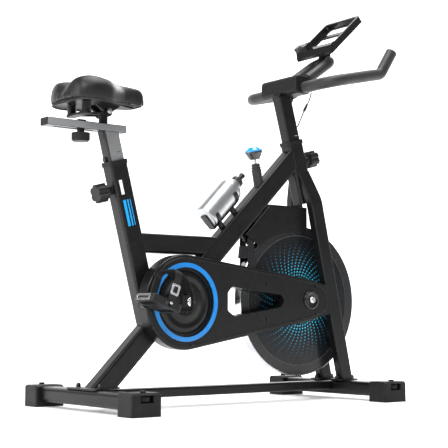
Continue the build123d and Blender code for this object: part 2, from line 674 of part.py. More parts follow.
with BuildPart() as flywheel_pulley:
    with BuildSketch(side_plane(-24.1)):
        with Locations((X_WHEEL, Z_WHEEL)):
            Circle(24)
            Circle(8, mode=Mode.SUBTRACT)
    extrude(amount=BELT_Y0 - 24.1)
    with BuildSketch(side_plane(-BELT_Y0)):
        with Locations((X_WHEEL, Z_WHEEL)):
            Circle(SMALL_PULLEY_R)
            Circle(8, mode=Mode.SUBTRACT)
    extrude(amount=BELT_Y1 - BELT_Y0)
save(flywheel_pulley, "flywheel_pulley")

with BuildPart() as flywheel_axle:
    with BuildSketch(side_plane(84)):
        with Locations((X_WHEEL, Z_WHEEL)):
            Circle(6)
    extrude(amount=168)
save(flywheel_axle, "flywheel_axle")


with BuildPart() as drive_belt:
    with BuildSketch(side_plane(-BELT_Y0 - 1)):
        add(wrap_outline(PULLEY_R + 3.3, SMALL_PULLEY_R + 3.3))
    extrude(amount=BELT_Y1 - BELT_Y0 - 2)
    with BuildSketch(side_plane(-BELT_Y0)):
        add(wrap_outline(PULLEY_R + 0.3, SMALL_PULLEY_R + 0.3))
    extrude(amount=BELT_Y1 - BELT_Y0, mode=Mode.SUBTRACT)
save(drive_belt, "drive_belt")

# Guard over the rear top of the flywheel, hung under the main tube.
GUARD_HALF = 24.0
GUARD_T = 2.5


with BuildPart() as flywheel_guard:
    with BuildSketch(side_plane(GUARD_HALF)):
        with BuildLine():
            Polyline((157, 462), (107, 494), (203, 590), (350, 588), (350, 508), (305, 509))
            ThreePointArc((305, 509), (226, 498), (157, 462))
        make_face()
    extrude(amount=2 * GUARD_HALF)
    fillet(flywheel_guard.edges().filter_by(lambda e: e.center().Z > 520 and abs(e.center().Y) > 20
                                            and e.length > 60), 4)
    with BuildSketch(side_plane(GUARD_HALF - GUARD_T)):
        with BuildLine():
            Polyline((160, 440), (90, 480), (204, 587.5), (360, 585.5), (360, 440), close=True)
        make_face()
    extrude(amount=2 * (GUARD_HALF - GUARD_T), mode=Mode.SUBTRACT)
    with BuildSketch(leaning(X_SLEEVE, Z_SLEEVE, KNOB_LEAN)):
        Circle(ROD_R + 2)
    extrude(amount=-200, mode=Mode.SUBTRACT)
    with BuildSketch(side_plane(7)):
        with Locations((120, 500)):
            Rectangle(110, 60, rotation=45)
    extrude(amount=14, mode=Mode.SUBTRACT)
save(flywheel_guard, "flywheel_guard")

# Magnet yoke, straddling the rim, on the lug under the main tube.
with BuildPart() as magnet_yoke:
    for y_start in (20.5, -17.5):
        with BuildSketch(side_plane(y_start)):
            with BuildLine():
                Polyline((X_YOKE + 9, Z_YOKE), (148, 415), (142, 392), (118, 396), (X_YOKE - 11, Z_YOKE), close=True)
            make_face()
            with Locations((X_YOKE, Z_YOKE)):
                Circle(10)
        extrude(amount=3)
    with BuildSketch(side_plane(20.5)):
        with Locations((117, 443)):
            Rectangle(8, 36, rotation=-8)
    extrude(amount=41)
    with BuildSketch(side_plane(21)):
        with Locations((X_YOKE, Z_YOKE)):
            Circle(YOKE_PIN_R)
    extrude(amount=42)
    for y_start in (17.5, -15.0):
        with BuildSketch(side_plane(y_start)):
            with Locations((133, 405)):
                Circle(9)
        extrude(amount=2.5)
save(magnet_yoke, "magnet_yoke")

# ---- Resistance knob -----------------------------------------------------------------------------
with BuildPart() as resistance_sleeve:
    with BuildSketch(leaning(X_SLEEVE, Z_SLEEVE, KNOB_LEAN)):
        Circle(14.5)
    extrude(amount=12)
    with BuildSketch(leaning(X_SLEEVE, Z_SLEEVE, KNOB_LEAN)):
        Circle(14.5)
    extrude(amount=-60)
    # ribbed boot over the sleeve's end
    for step in range(3):
        with BuildSketch(leaning(X_SLEEVE, Z_SLEEVE, KNOB_LEAN).offset(12 + 8 * step)):
            Circle(15.5 - step)
        extrude(amount=5)
        with BuildSketch(leaning(X_SLEEVE, Z_SLEEVE, KNOB_LEAN).offset(17 + 8 * step)):
            Circle(13 - step)
        extrude(amount=3)
    with BuildSketch(leaning(X_SLEEVE, Z_SLEEVE, KNOB_LEAN)):
        Circle(ROD_R + 0.5)
    extrude(amount=80, both=True, mode=Mode.SUBTRACT)
    add(main_solid.part, mode=Mode.SUBTRACT)
    split(bisect_by=Plane(origin=(X_CRANK, 0, Z_CRANK), z_dir=(-0.7046, 0, 0.7096)), keep=Keep.TOP)
save(resistance_sleeve, "resistance_sleeve")

KNOB_BASE = 48.0            # knob's underside, above the sleeve's origin
with BuildPart() as resistance_rod:
    with BuildSketch(leaning(X_SLEEVE, Z_SLEEVE, KNOB_LEAN).offset(KNOB_BASE + 12)):
        Circle(ROD_R)
    extrude(amount=-(KNOB_BASE + 12 + 158))
    # brake pad over the rim
    with BuildSketch(side_plane(12)):
        with Locations((X_SLEEVE + 162 * sin(radians(KNOB_LEAN)) , Z_SLEEVE - 162 * cos(radians(KNOB_LEAN)))):
            Rectangle(34, 9, rotation=32)
    extrude(amount=24)
save(resistance_rod, "resistance_rod")

with BuildPart() as resistance_knob:
    with BuildSketch(leaning(X_SLEEVE, Z_SLEEVE, KNOB_LEAN).offset(KNOB_BASE)):
        Circle(15)
    with BuildSketch(leaning(X_SLEEVE, Z_SLEEVE, KNOB_LEAN).offset(KNOB_BASE + 20)):
        Circle(26)
    loft()
    with BuildSketch(leaning(X_SLEEVE, Z_SLEEVE, KNOB_LEAN).offset(KNOB_BASE + 20)):
        Circle(27)
    extrude(amount=9)
    with BuildSketch(leaning(X_SLEEVE, Z_SLEEVE, KNOB_LEAN).offset(KNOB_BASE + 29)):
        Circle(26)
    with BuildSketch(leaning(X_SLEEVE, Z_SLEEVE, KNOB_LEAN).offset(KNOB_BASE + 38)):
        Circle(14)
    loft()
    with BuildSketch(leaning(X_SLEEVE, Z_SLEEVE, KNOB_LEAN).offset(KNOB_BASE - 1)):
        Circle(ROD_R + 0.05)
    extrude(amount=14, mode=Mode.SUBTRACT)
save(resistance_knob, "resistance_knob")

# ---- Posts, collars and clamp knobs ------------------------------------------------------------
SEAT_KNOB_S = -60.0         # along each tube from its reference plane
HEAD_KNOB_S = -43.0
POST_GAP = 0.3
SLEEVE_GAP = 0.1
SEAT_TOP_S = (Z_COLLAR - Z_SEAT_TOP) / cos(radians(SEAT_LEAN))
HEAD_TOP_S = 20.0
SEAT_FRAME = leaning(X_SEAT_TUBE, Z_SEAT_TOP, SEAT_LEAN)
HEAD_FRAME = leaning(X_HEAD, Z_HEAD, HEAD_LEAN)

with BuildPart() as post_collars:
    for frame_plane, top in ((SEAT_FRAME, 12.0), (HEAD_FRAME, HEAD_TOP_S)):
        with BuildSketch(frame_plane.offset(top)):
            RectangleRounded(TUBE_DEPTH + 5, TUBE_WIDTH + 5, TUBE_CORNER + 2)
        extrude(amount=7)
        with BuildSketch(frame_plane.offset(top - 6)):
            RectangleRounded(TUBE_DEPTH + 5, TUBE_WIDTH + 5, TUBE_CORNER + 2)
            RectangleRounded(TUBE_DEPTH + 0.1, TUBE_WIDTH + 0.1, TUBE_CORNER, mode=Mode.SUBTRACT)
        extrude(amount=6)
        with BuildSketch(frame_plane.offset(top - 40)):
            RectangleRounded(TUBE_DEPTH - 4 - 2 * SLEEVE_GAP, TUBE_WIDTH - 4 - 2 * SLEEVE_GAP, TUBE_CORNER - 2)
        extrude(amount=40)
        with BuildSketch(frame_plane.offset(top - 41)):
            RectangleRounded(POST_DEPTH + 2 * POST_GAP, POST_WIDTH + 2 * POST_GAP, POST_CORNER)
        extrude(amount=50, mode=Mode.SUBTRACT)
save(post_collars, "post_collars")

SEAT_POST_TOP = (RAIL_Z0 - 0.0 - Z_SEAT_TOP) / cos(radians(SEAT_LEAN))
with BuildPart() as seat_post:
    with BuildSketch(SEAT_FRAME.offset(SEAT_POST_TOP + 20)):
        RectangleRounded(POST_DEPTH, POST_WIDTH, POST_CORNER)
        RectangleRounded(POST_DEPTH - 4, POST_WIDTH - 4, POST_CORNER - 2, mode=Mode.SUBTRACT)
    extrude(amount=-(SEAT_POST_TOP + 20 + 215))
    split(bisect_by=Plane.XY.offset(RAIL_Z0 - 0.01), keep=Keep.BOTTOM)
    # stop bolt that rests on the collar
    with BuildSketch(Plane(origin=SEAT_FRAME.from_local_coords((-POST_DEPTH / 2 + 2, 0, 12 + 7 + 7.6)),
                           x_dir=(0, 1, 0), z_dir=-SEAT_FRAME.x_dir)):
        Circle(7)
    extrude(amount=9)
save(seat_post, "seat_post")

SLOT_W = 12.0
with BuildPart() as seat_rail:
    with BuildSketch(Plane(origin=(RAIL_X0, 0, RAIL_Z0 + RAIL_HEIGHT / 2), x_dir=(0, 1, 0), z_dir=(1, 0, 0))):
        RectangleRounded(RAIL_WIDTH, RAIL_HEIGHT, 3)
    extrude(amount=RAIL_LEN)
    with BuildSketch(Plane(origin=(RAIL_X0 + 6, 0, RAIL_Z0 + RAIL_HEIGHT / 2), x_dir=(0, 1, 0), z_dir=(1, 0, 0))):
        Rectangle(RAIL_WIDTH - 5, RAIL_HEIGHT - 5)
    extrude(amount=RAIL_LEN - 12, mode=Mode.SUBTRACT)
    with BuildSketch(Plane.XY.offset(RAIL_Z0 - 1)):
        with Locations((-472, 0)):
            SlotOverall(124, SLOT_W)
    extrude(amount=5, mode=Mode.SUBTRACT)
    with BuildSketch(Plane.XY.offset(RAIL_Z0 + RAIL_HEIGHT - 4)):
        with Locations((-434, 0)):
            SlotOverall(212, 28)
    extrude(amount=6, mode=Mode.SUBTRACT)
    fillet(seat_rail.edges().filter_by(Axis.Z).filter_by(lambda e: e.center().X > RAIL_X0 + RAIL_LEN - 1), 2)
save(seat_rail, "seat_rail")

SLIDER_X = -449.0
with BuildPart() as saddle_carriage:
    with BuildSketch(Plane.XY.offset(RAIL_Z0 + 2.9)):
        with Locations(((SLIDER_X - 16 + SADDLE_X + 22) / 2, 0)):
            RectangleRounded(SADDLE_X - SLIDER_X + 38, RAIL_WIDTH - 6, 4)
    extrude(amount=RAIL_HEIGHT - 5.8)
    with BuildSketch(Plane.XY.offset(RAIL_Z0 + 2.9)):
        with Locations((SADDLE_X, 0)):
            Circle(12.5)
    extrude(amount=SADDLE_PIVOT_Z - RAIL_Z0 - 12)
    with BuildSketch(side_plane(15)):
        with Locations((SADDLE_X, SADDLE_PIVOT_Z)):
            Circle(12)
    extrude(amount=30)
    with BuildSketch(side_plane(15)):
        with Locations((SADDLE_X, SADDLE_PIVOT_Z)):
            Circle(5.06)
    extrude(amount=30, mode=Mode.SUBTRACT)
    with BuildSketch(Plane.XY.offset(RAIL_Z0 + 2.9)):
        with Locations((SLIDER_X, 0)):
            Circle(4.06)
    extrude(amount=12, mode=Mode.SUBTRACT)
    # square nut plate over the top slot
    with BuildSketch(Plane.XY.offset(RAIL_Z0 + RAIL_HEIGHT - 4)):
        with Locations((SLIDER_X, 0)):
            RectangleRounded(24, 22, 3)
    extrude(amount=9)
save(saddle_carriage, "saddle_carriage")


def lobed(radius, lobes=6, bite=0.16):
    """Outline of a hand knob with shallow scallops between its lobes."""
    with BuildSketch() as outline:
        Circle(radius)
        with PolarLocations(radius * 1.16, lobes):
            Circle(radius * (0.16 + bite), mode=Mode.SUBTRACT)
        fillet(outline.vertices(), 1.5)
    return outline.sketch


with BuildPart() as slider_knob:
    with BuildSketch(Plane.XY.offset(RAIL_Z0 + 14)):
        with Locations((SLIDER_X, 0)):
            Circle(4)
    extrude(amount=-24)
    with BuildSketch(Plane.XY.offset(RAIL_Z0 - 0.3)):
        with Locations((SLIDER_X, 0)):
            Circle(10)
    extrude(amount=-10)
    with BuildSketch(Plane.XY.offset(RAIL_Z0 - 10)):
        with Locations((SLIDER_X, 0)):
            Circle(25)
        with Locations((SLIDER_X, 0)):
            with PolarLocations(25.8, 20):
                Circle(1.8, mode=Mode.SUBTRACT)
    extrude(amount=-20)
    with BuildSketch(Plane.XY.offset(RAIL_Z0 - 30)):
        with Locations((SLIDER_X, 0)):
            Circle(22)
    extrude(amount=-3)
save(slider_knob, "slider_knob")

for frame_plane, s, facing, label in ((SEAT_FRAME, SEAT_KNOB_S, -1, "seat_post_knob"),
                                      (HEAD_FRAME, HEAD_KNOB_S, 1, "handlebar_post_knob")):
    out = frame_plane.x_dir * facing
    with BuildPart() as knob:
        with BuildSketch(Plane(origin=frame_plane.from_local_coords((facing * (POST_DEPTH / 2 + 0.4), 0, s)),
                               x_dir=(0, 1, 0), z_dir=out)):
            Circle(5)
        extrude(amount=24)
        with BuildSketch(Plane(origin=frame_plane.from_local_coords((facing * (TUBE_DEPTH / 2 + 8.4), 0, s)),
                               x_dir=(0, 1, 0), z_dir=out)):
            Circle(11.5)
        with BuildSketch(Plane(origin=frame_plane.from_local_coords((facing * (TUBE_DEPTH / 2 + 20), 0, s)),
                               x_dir=(0, 1, 0), z_dir=out)):
            Circle(15)
        loft()
        with BuildSketch(Plane(origin=frame_plane.from_local_coords((facing * (TUBE_DEPTH / 2 + 20), 0, s)),
                               x_dir=(0, 1, 0), z_dir=out)):
            add(lobed(26))
        extrude(amount=33)
        fillet(knob.faces().sort_by(Axis((0, 0, 0), tuple(out)))[-1].outer_wire().edges(), 2)
    save(knob, label)

# ---- Saddle --------------------------------------------------------------------------------------
SADDLE_REAR = -515.0
SADDLE_NOSE = -250.0


def saddle_outline(grow):
    """Saddle seen from above, with its edge moved out by grow."""
    with BuildSketch() as outline:
        with BuildLine():
            Spline((SADDLE_NOSE + grow, 0), (SADDLE_NOSE - 6 + grow, 17 + grow * 0.6), (-290, 25 + grow * 0.8),
                   (-340, 42 + grow * 0.9), (-385, 70 + grow), (-425, 92 + grow), (-462, 98 + grow),
                   (-492 - grow * 0.4, 84 + grow * 0.8), (-508 - grow * 0.7, 52 + grow * 0.6),
                   (SADDLE_REAR - grow, 0))
            mirror(about=Plane.XZ)
        make_face()
    return outline.sketch


with BuildPart() as saddle_base:
    # shell under the padding
    with BuildSketch(Plane.XY.offset(826)):
        add(saddle_outline(-11))
        with Locations((-245, 0)):
            Rectangle(90, 80, mode=Mode.SUBTRACT)
    extrude(amount=6)
    # clamp cheeks and bolt
    for y_start in (-15.4, 25.4):
        with BuildSketch(side_plane(y_start)):
            with BuildLine():
                Polyline((SADDLE_X - 13, SADDLE_PIVOT_Z), (SADDLE_X - 40, 827), (SADDLE_X + 40, 827),
                         (SADDLE_X + 13, SADDLE_PIVOT_Z), close=True)
            make_face()
            with Locations((SADDLE_X, SADDLE_PIVOT_Z)):
                Circle(14)
        extrude(amount=10)
    with BuildSketch(side_plane(33)):
        with Locations((SADDLE_X, SADDLE_PIVOT_Z)):
            Circle(5)
    extrude(amount=66)
    with BuildSketch(side_plane(-25)):
        with Locations((SADDLE_X, SADDLE_PIVOT_Z)):
            RegularPolygon(10, 6)
    extrude(amount=7)
    # spring posts between the rear bridge and the shell
    for y_mid in (-38, 38):
        with BuildSketch(Plane.XY.offset(797)):
            with Locations((-455, y_mid)):
                Circle(9)
        extrude(amount=30)
    with BuildSketch(Plane.XY.offset(792)):
        with Locations((-455, 0)):
            RectangleRounded(26, 104, 10)
    extrude(amount=6)
    with BuildSketch(side_plane(24)):
        with BuildLine():
            Polyline((-455, 792), (-455, 798), (SADDLE_X - 8, 806), (SADDLE_X - 8, 799), close=True)
        make_face()
    extrude(amount=7)
    with BuildSketch(side_plane(-17)):
        with BuildLine():
            Polyline((-455, 792), (-455, 798), (SADDLE_X - 8, 806), (SADDLE_X - 8, 799), close=True)
        make_face()
    extrude(amount=7)
save(saddle_base, "saddle_base")

with BuildPart() as saddle_pad:
    with BuildSketch(Plane.XY.offset(832.3)):
        add(saddle_outline(0))
    with BuildSketch(Plane.XY.offset(888)):
        add(saddle_outline(-13))
    loft()
save(saddle_pad, "saddle_pad")

# ---- Handlebar -------------------------------------------------------------------------------
HORN_X = BAR_X + 205.0      # where each horn turns up
HORN_Z = BAR_Z + 48.0
TIP_X = HORN_X + 50.0
TIP_Z = HORN_Z + 74.0
LOOP_HALF = 38.0
LOOP_X = BAR_X + 160.0
LOOP_Z = BAR_Z + 115.0
BEND_R = 52.0
COVER_HALF = 82.0

with BuildPart() as handlebar:
    with BuildLine() as bar_line:
        FilletPolyline((TIP_X - 8, -BAR_HALF, TIP_Z - 14), (HORN_X, -BAR_HALF, HORN_Z), (BAR_X, -BAR_HALF, BAR_Z),
                       (BAR_X, BAR_HALF, BAR_Z), (HORN_X, BAR_HALF, HORN_Z), (TIP_X - 8, BAR_HALF, TIP_Z - 14),
                       radius=(24, BEND_R, BEND_R, 24))
    with BuildSketch(Plane(origin=bar_line.line @ 0, z_dir=bar_line.line % 0)):
        Circle(BAR_R)
    sweep()
    with BuildLine() as loop_line:
        FilletPolyline((BAR_X, -LOOP_HALF, BAR_Z + 4), (LOOP_X, -LOOP_HALF, LOOP_Z), (LOOP_X, LOOP_HALF, LOOP_Z),
                       (BAR_X, LOOP_HALF, BAR_Z + 4), radius=(30, 30))
    with BuildSketch(Plane(origin=loop_line.line @ 0, z_dir=loop_line.line % 0)):
        Circle(BAR_R)
    sweep()
save(handlebar, "handlebar")

with BuildPart() as handlebar_grips:
    for side in (-1, 1):
        with BuildLine() as grip_line:
            FilletPolyline((BAR_X, side * (COVER_HALF + 1), BAR_Z), (BAR_X, side * BAR_HALF, BAR_Z),
                           (HORN_X, side * BAR_HALF, HORN_Z), (TIP_X, side * BAR_HALF, TIP_Z), radius=(BEND_R, 24))
        with BuildSketch(Plane(origin=grip_line.line @ 0, z_dir=grip_line.line % 0)):
            Circle(GRIP_R)
        sweep()
    with BuildLine() as loop_grip_line:
        FilletPolyline((BAR_X + 52, -LOOP_HALF, BAR_Z + 4 + 52 * 111 / 160),
                       (LOOP_X, -LOOP_HALF, LOOP_Z), (LOOP_X, LOOP_HALF, LOOP_Z),
                       (BAR_X + 52, LOOP_HALF, BAR_Z + 4 + 52 * 111 / 160), radius=(30, 30))
    with BuildSketch(Plane(origin=loop_grip_line.line @ 0, z_dir=loop_grip_line.line % 0)):
        Circle(GRIP_R - 1.5)
    sweep()
    add(handlebar.part, mode=Mode.SUBTRACT)
save(handlebar_grips, "handlebar_grips")

with BuildPart() as handlebar_post:
    with BuildSketch(HEAD_FRAME.offset(-132)):
        RectangleRounded(POST_DEPTH, POST_WIDTH, POST_CORNER)
        RectangleRounded(POST_DEPTH - 4, POST_WIDTH - 4, POST_CORNER - 2, mode=Mode.SUBTRACT)
    extrude(amount=300)
    # cradle that the cross tube is welded into
    with BuildSketch(Plane(origin=HEAD_FRAME.from_local_coords((0, 15, 0)), x_dir=HEAD_FRAME.x_dir,
                           z_dir=(0, -1, 0))):
        with BuildLine():
            Polyline((-POST_DEPTH / 2, 160), (-POST_DEPTH / 2, 171), (12, 192), (34, 192), (44, 182), (44, 166),
                     (24, 140), (21, 140), (21, 160), close=True)
        make_face()
    extrude(amount=30)
    # stop bolt that rests on the collar
    with BuildSketch(Plane(origin=HEAD_FRAME.from_local_coords((POST_DEPTH / 2 - 2, 0, HEAD_TOP_S + 7 + 7.6)),
                           x_dir=(0, 1, 0), z_dir=HEAD_FRAME.x_dir)):
        Circle(7)
    extrude(amount=9)
    add(handlebar.part, mode=Mode.SUBTRACT)
save(handlebar_post, "handlebar_post")

COVER_X = 284.0
COVER_Z = 957.0
with BuildPart() as centre_cover:
    with BuildSketch(side_plane(COVER_HALF)):
        with Locations((COVER_X, COVER_Z)):
            RectangleRounded(62, 56, 14)
    extrude(amount=2 * COVER_HALF)
    fillet(centre_cover.edges().filter_by(lambda e: abs(abs(e.center().Y) - COVER_HALF) < 0.1), 5)
    with BuildSketch(side_plane(COVER_HALF - 3)):
        with Locations((COVER_X, COVER_Z)):
            RectangleRounded(56, 50, 11)
    extrude(amount=2 * COVER_HALF - 6, mode=Mode.SUBTRACT)
    with BuildSketch(HEAD_FRAME.offset(120)):
        RectangleRounded(POST_DEPTH + 1, POST_WIDTH + 1, POST_CORNER)
    extrude(amount=50, mode=Mode.SUBTRACT)
    add(handlebar.part, mode=Mode.SUBTRACT)
    add(handlebar_post.part, mode=Mode.SUBTRACT)
save(centre_cover, "centre_cover")

# ---- Console -------------------------------------------------------------------------------------
PIVOT_X = 450.0
PIVOT_Z = 1092.0
PIVOT_R = 5.0
HOLDER_TILT = radians(42.6)
HOLDER = Plane(origin=(408, 0, 1071), x_dir=(cos(HOLDER_TILT), 0, sin(HOLDER_TILT)),
               z_dir=(-sin(HOLDER_TILT), 0, cos(HOLDER_TILT)))
HOLDER_LEN = 186.0
HOLDER_W = 160.0
HOLDER_T = 22.0


def holder_side(y):
    """Plane across the holder: its X runs up the holder and its Y out towards the rider."""
    return Plane(origin=HOLDER.from_local_coords((0, y, 0)), x_dir=HOLDER.x_dir, z_dir=(0, -1, 0))


with BuildPart() as console_mount:
    with BuildSketch(side_plane(14)):
        with Locations((LOOP_X, LOOP_Z)):
            Circle(19)
        with Locations((PIVOT_X, PIVOT_Z)):
            Circle(11)
        with BuildLine():
            Polyline((LOOP_X - 16, LOOP_Z), (PIVOT_X - 10.6, PIVOT_Z - 3), (PIVOT_X + 10.6, PIVOT_Z + 3),
                     (LOOP_X + 16, LOOP_Z), close=True)
        make_face()
        with Locations((PIVOT_X, PIVOT_Z)):
            Circle(PIVOT_R + 0.06, mode=Mode.SUBTRACT)
    extrude(amount=28)
    add(handlebar.part, mode=Mode.SUBTRACT)
    add(handlebar_grips.part, mode=Mode.SUBTRACT)
save(console_mount, "console_mount")

PIVOT_U = HOLDER.to_local_coords(Vector(PIVOT_X, 0, PIVOT_Z)).X
PIVOT_N = HOLDER.to_local_coords(Vector(PIVOT_X, 0, PIVOT_Z)).Z
with BuildPart() as tablet_holder:
    # back frame, with a deeper rim round it
    with BuildSketch(HOLDER):
        with Locations((HOLDER_LEN / 2 + 6, 0)):
            RectangleRounded(HOLDER_LEN - 12, HOLDER_W, 12)
    extrude(amount=HOLDER_T)
    with BuildSketch(HOLDER.offset(4)):
        with Locations((HOLDER_LEN / 2 + 10, 0)):
            RectangleRounded(HOLDER_LEN - 36, HOLDER_W - 16, 8)
    extrude(amount=HOLDER_T, mode=Mode.SUBTRACT)
    with BuildSketch(HOLDER.offset(-1)):
        with Locations((120, 0)):
            RectangleRounded(108, HOLDER_W - 40, 8)
    extrude(amount=HOLDER_T, mode=Mode.SUBTRACT)
    # spring clip across the frame
    with BuildSketch(HOLDER):
        with Locations((124, 0)):
            RectangleRounded(16, HOLDER_W - 30, 4)
    extrude(amount=6)
    # ledge for the lower edge of the tablet
    with BuildSketch(holder_side(HOLDER_W / 2)):
        with BuildLine():
            Polyline((0, 0), (0, 8), (12, 25), (32, 25), (46, 15), (46, 2), (40, 0), close=True)
        make_face()
    extrude(amount=HOLDER_W)
    with BuildSketch(holder_side(HOLDER_W / 2 - 6)):
        with BuildLine():
            Polyline((28, 14), (28, 26), (60, 26), (60, 5), (28, 5), close=True)
        make_face()
    extrude(amount=HOLDER_W - 12, mode=Mode.SUBTRACT)
    # ears and pin of the tilt hinge
    for y_start in (20.4, -14.4):
        with BuildSketch(holder_side(y_start)):
            with Locations((PIVOT_U, PIVOT_N)):
                Circle(10)
            with Locations((PIVOT_U, PIVOT_N / 2 + 1)):
                Rectangle(20, -PIVOT_N + 2)
        extrude(amount=6)
    with BuildSketch(holder_side(24)):
        with Locations((PIVOT_U, PIVOT_N)):
            Circle(PIVOT_R)
    extrude(amount=48)
save(tablet_holder, "tablet_holder")

DISPLAY_Y = 51.0
with BuildPart() as display:
    with BuildSketch(holder_side(DISPLAY_Y + 26)):
        with BuildLine():
            Polyline((12, 25), (8, 29), (8, 43), (38, 43), (38, 25), close=True)
        make_face()
    extrude(amount=52)
    fillet(display.edges().filter_by(lambda e: HOLDER.to_local_coords(e.center()).Z > 31), 3)
    with BuildSketch(HOLDER.offset(36)):
        with Locations((15, DISPLAY_Y)):
            Circle(4.56)
    extrude(amount=10, mode=Mode.SUBTRACT)
save(display, "display")

with BuildPart() as display_button:
    with BuildSketch(HOLDER.offset(38)):
        with Locations((15, DISPLAY_Y)):
            Circle(4.5)
    extrude(amount=6.5)
    fillet(display_button.faces().sort_by(Axis((0, 0, 0), tuple(HOLDER.z_dir)))[-1].edges(), 0.8)
save(display_button, "display_button")

with BuildPart() as sensor_cable:
    with BuildLine() as cable_line:
        FilletPolyline((296, -105, 930.3), (298, -100, 914), (309, -60, 886), (318, -24, 848), (319.6, -13, 837),
                       radius=(8, 8, 8))
    with BuildSketch(Plane(origin=cable_line.line @ 0, z_dir=cable_line.line % 0)):
        Circle(2)
    sweep()
    split(bisect_by=Plane.XY.offset(930.3), keep=Keep.BOTTOM)
    add(handlebar_post.part, mode=Mode.SUBTRACT)
save(sensor_cable, "sensor_cable")

# ---- Bottle and cage -------------------------------------------------------------------------
BOTTLE = leaning(-26, 536, MAIN_LEAN)
BOTTLE_R = 36.5
BODY_H = 130.0
SHOULDER_H = 158.0
CAGE_R = 37.3
CAGE_T = 3.0
TUBE_FACE = 59.3

with BuildPart() as bottle_body:
    with BuildSketch(BOTTLE):
        Circle(BOTTLE_R)
    extrude(amount=BODY_H)
    with BuildSketch(BOTTLE.offset(BODY_H)):
        Circle(BOTTLE_R)
    with BuildSketch(BOTTLE.offset(SHOULDER_H)):
        Circle(17)
    loft()
    fillet(bottle_body.edges().filter_by(GeomType.CIRCLE).filter_by(
        lambda e: abs(BOTTLE.to_local_coords(e.center()).Z - BODY_H) < 1), 20)
    fillet(bottle_body.edges().filter_by(GeomType.CIRCLE).filter_by(
        lambda e: abs(BOTTLE.to_local_coords(e.center()).Z) < 1), 4)
save(bottle_body, "bottle_body")

with BuildPart() as bottle_lid:
    with BuildSketch(BOTTLE.offset(SHOULDER_H)):
        Circle(18.5)
        with PolarLocations(19.4, 24):
            Circle(1.4, mode=Mode.SUBTRACT)
    extrude(amount=11)
    with BuildSketch(BOTTLE.offset(SHOULDER_H + 11)):
        Circle(16)
    extrude(amount=3)
    with BuildSketch(BOTTLE.offset(SHOULDER_H + 14)):
        Circle(6)
    extrude(amount=12)
save(bottle_lid, "bottle_lid")

with BuildPart() as bottle_valve:
    with BuildSketch(BOTTLE.offset(SHOULDER_H + 14.3)):
        Circle(9)
    extrude(amount=4)
    with BuildSketch(BOTTLE.offset(SHOULDER_H + 18.3)):
        Circle(7.8)
    extrude(amount=13)
    with BuildSketch(BOTTLE.offset(SHOULDER_H + 31.3)):
        Circle(9)
    extrude(amount=6)
    with BuildSketch(BOTTLE.offset(SHOULDER_H + 14.3)):
        Circle(6.06)
    extrude(amount=18, mode=Mode.SUBTRACT)
    with BuildSketch(BOTTLE.offset(SHOULDER_H + 30)):
        Circle(2)
    extrude(amount=10, mode=Mode.SUBTRACT)
save(bottle_valve, "bottle_valve")

with BuildPart() as bottle_cage:
    # strip along the tube side, with two bosses down to the tube
    with BuildSketch(BOTTLE.offset(-3.5)):
        with Locations((CAGE_R + CAGE_T / 2, 0)):
            Rectangle(CAGE_T, 22)
    extrude(amount=122)
    with BuildSketch(BOTTLE.offset(-3.5)):
        with Locations((CAGE_R + CAGE_T - 26, 0)):
            RectangleRounded(52, 26, 6)
    extrude(amount=3)
    for s in (28, 92):
        with BuildSketch(Plane(origin=BOTTLE.from_local_coords((CAGE_R + 1, 0, s)), x_dir=(0, 1, 0),
                               z_dir=BOTTLE.x_dir)):
            Circle(9)
        extrude(amount=TUBE_FACE - CAGE_R - 0.5)
    # bands round the half of the bottle that faces the tube
    for s in (12, 104):
        with BuildSketch(BOTTLE.offset(s)):
            Circle(CAGE_R + CAGE_T)
            Circle(CAGE_R, mode=Mode.SUBTRACT)
            with Locations((-50, 0)):
                Rectangle(100, 200, mode=Mode.SUBTRACT)
        extrude(amount=12)
    add(main_solid.part, mode=Mode.SUBTRACT)
save(bottle_cage, "bottle_cage")

# ---- Fasteners -----------------------------------------------------------------------------------
NUT_H = 7.0
with BuildPart() as fasteners:
    # dome nuts on the foot plates
    spots = [(X_REAR, 55.0, 5.0), (X_REAR, -55.0, 5.0)]
    for side in (-1, 1):
        for reach in (-31.0, 31.0):
            spots.append((X_FRONT + reach, side * (FORK_IN + FORK_OUT) / 2, 0.0))
    for x_spot, y_spot, depth in spots:
        with BuildSketch(Plane.XY.offset(PLATE_Z0 + PLATE_T)):
            with Locations((x_spot, y_spot)):
                RegularPolygon(7.5, 6)
        extrude(amount=NUT_H)
        with BuildSketch(Plane.XY.offset(PLATE_Z0 + PLATE_T + NUT_H)):
            with Locations((x_spot, y_spot)):
                Circle(6)
        extrude(amount=4, taper=20)
        if depth > 0:
            with BuildSketch(Plane.XY.offset(PLATE_Z0 + PLATE_T)):
                with Locations((x_spot, y_spot)):
                    Circle(5)
            extrude(amount=-depth)
    # washers and nuts on the flywheel axle
    for side in (-1, 1):
        with BuildSketch(Plane(origin=(X_WHEEL, side * 60, Z_WHEEL), x_dir=(1, 0, 0), z_dir=(0, side, 0))):
            Circle(12)
            Circle(6, mode=Mode.SUBTRACT)
        extrude(amount=2.5)
        with BuildSketch(Plane(origin=(X_WHEEL, side * 62.5, Z_WHEEL), x_dir=(1, 0, 0), z_dir=(0, side, 0))):
            RegularPolygon(10.5, 6)
            Circle(6, mode=Mode.SUBTRACT)
        extrude(amount=11)
    # screws round the belt cover
    screw_spots = [(X_CRANK - 110, 220), (X_CRANK - 110, 362), (X_CRANK + 20, 411), (X_CRANK + 20, 171),
                   (150, 345), (150, 243), (345, 345), (345, 262)]
    for x_spot, z_spot in screw_spots:
        with BuildSketch(Plane(origin=(x_spot, -FACE_Y, z_spot), x_dir=(1, 0, 0), z_dir=(0, -1, 0))):
            Circle(4.5)
        extrude(amount=2.5)
    add(fork_solids, mode=Mode.SUBTRACT)
save(fasteners, "fasteners")
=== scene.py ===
"""Exercise bike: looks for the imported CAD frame. Metres; +X forward, +Y rider's left, +Z up."""

import math

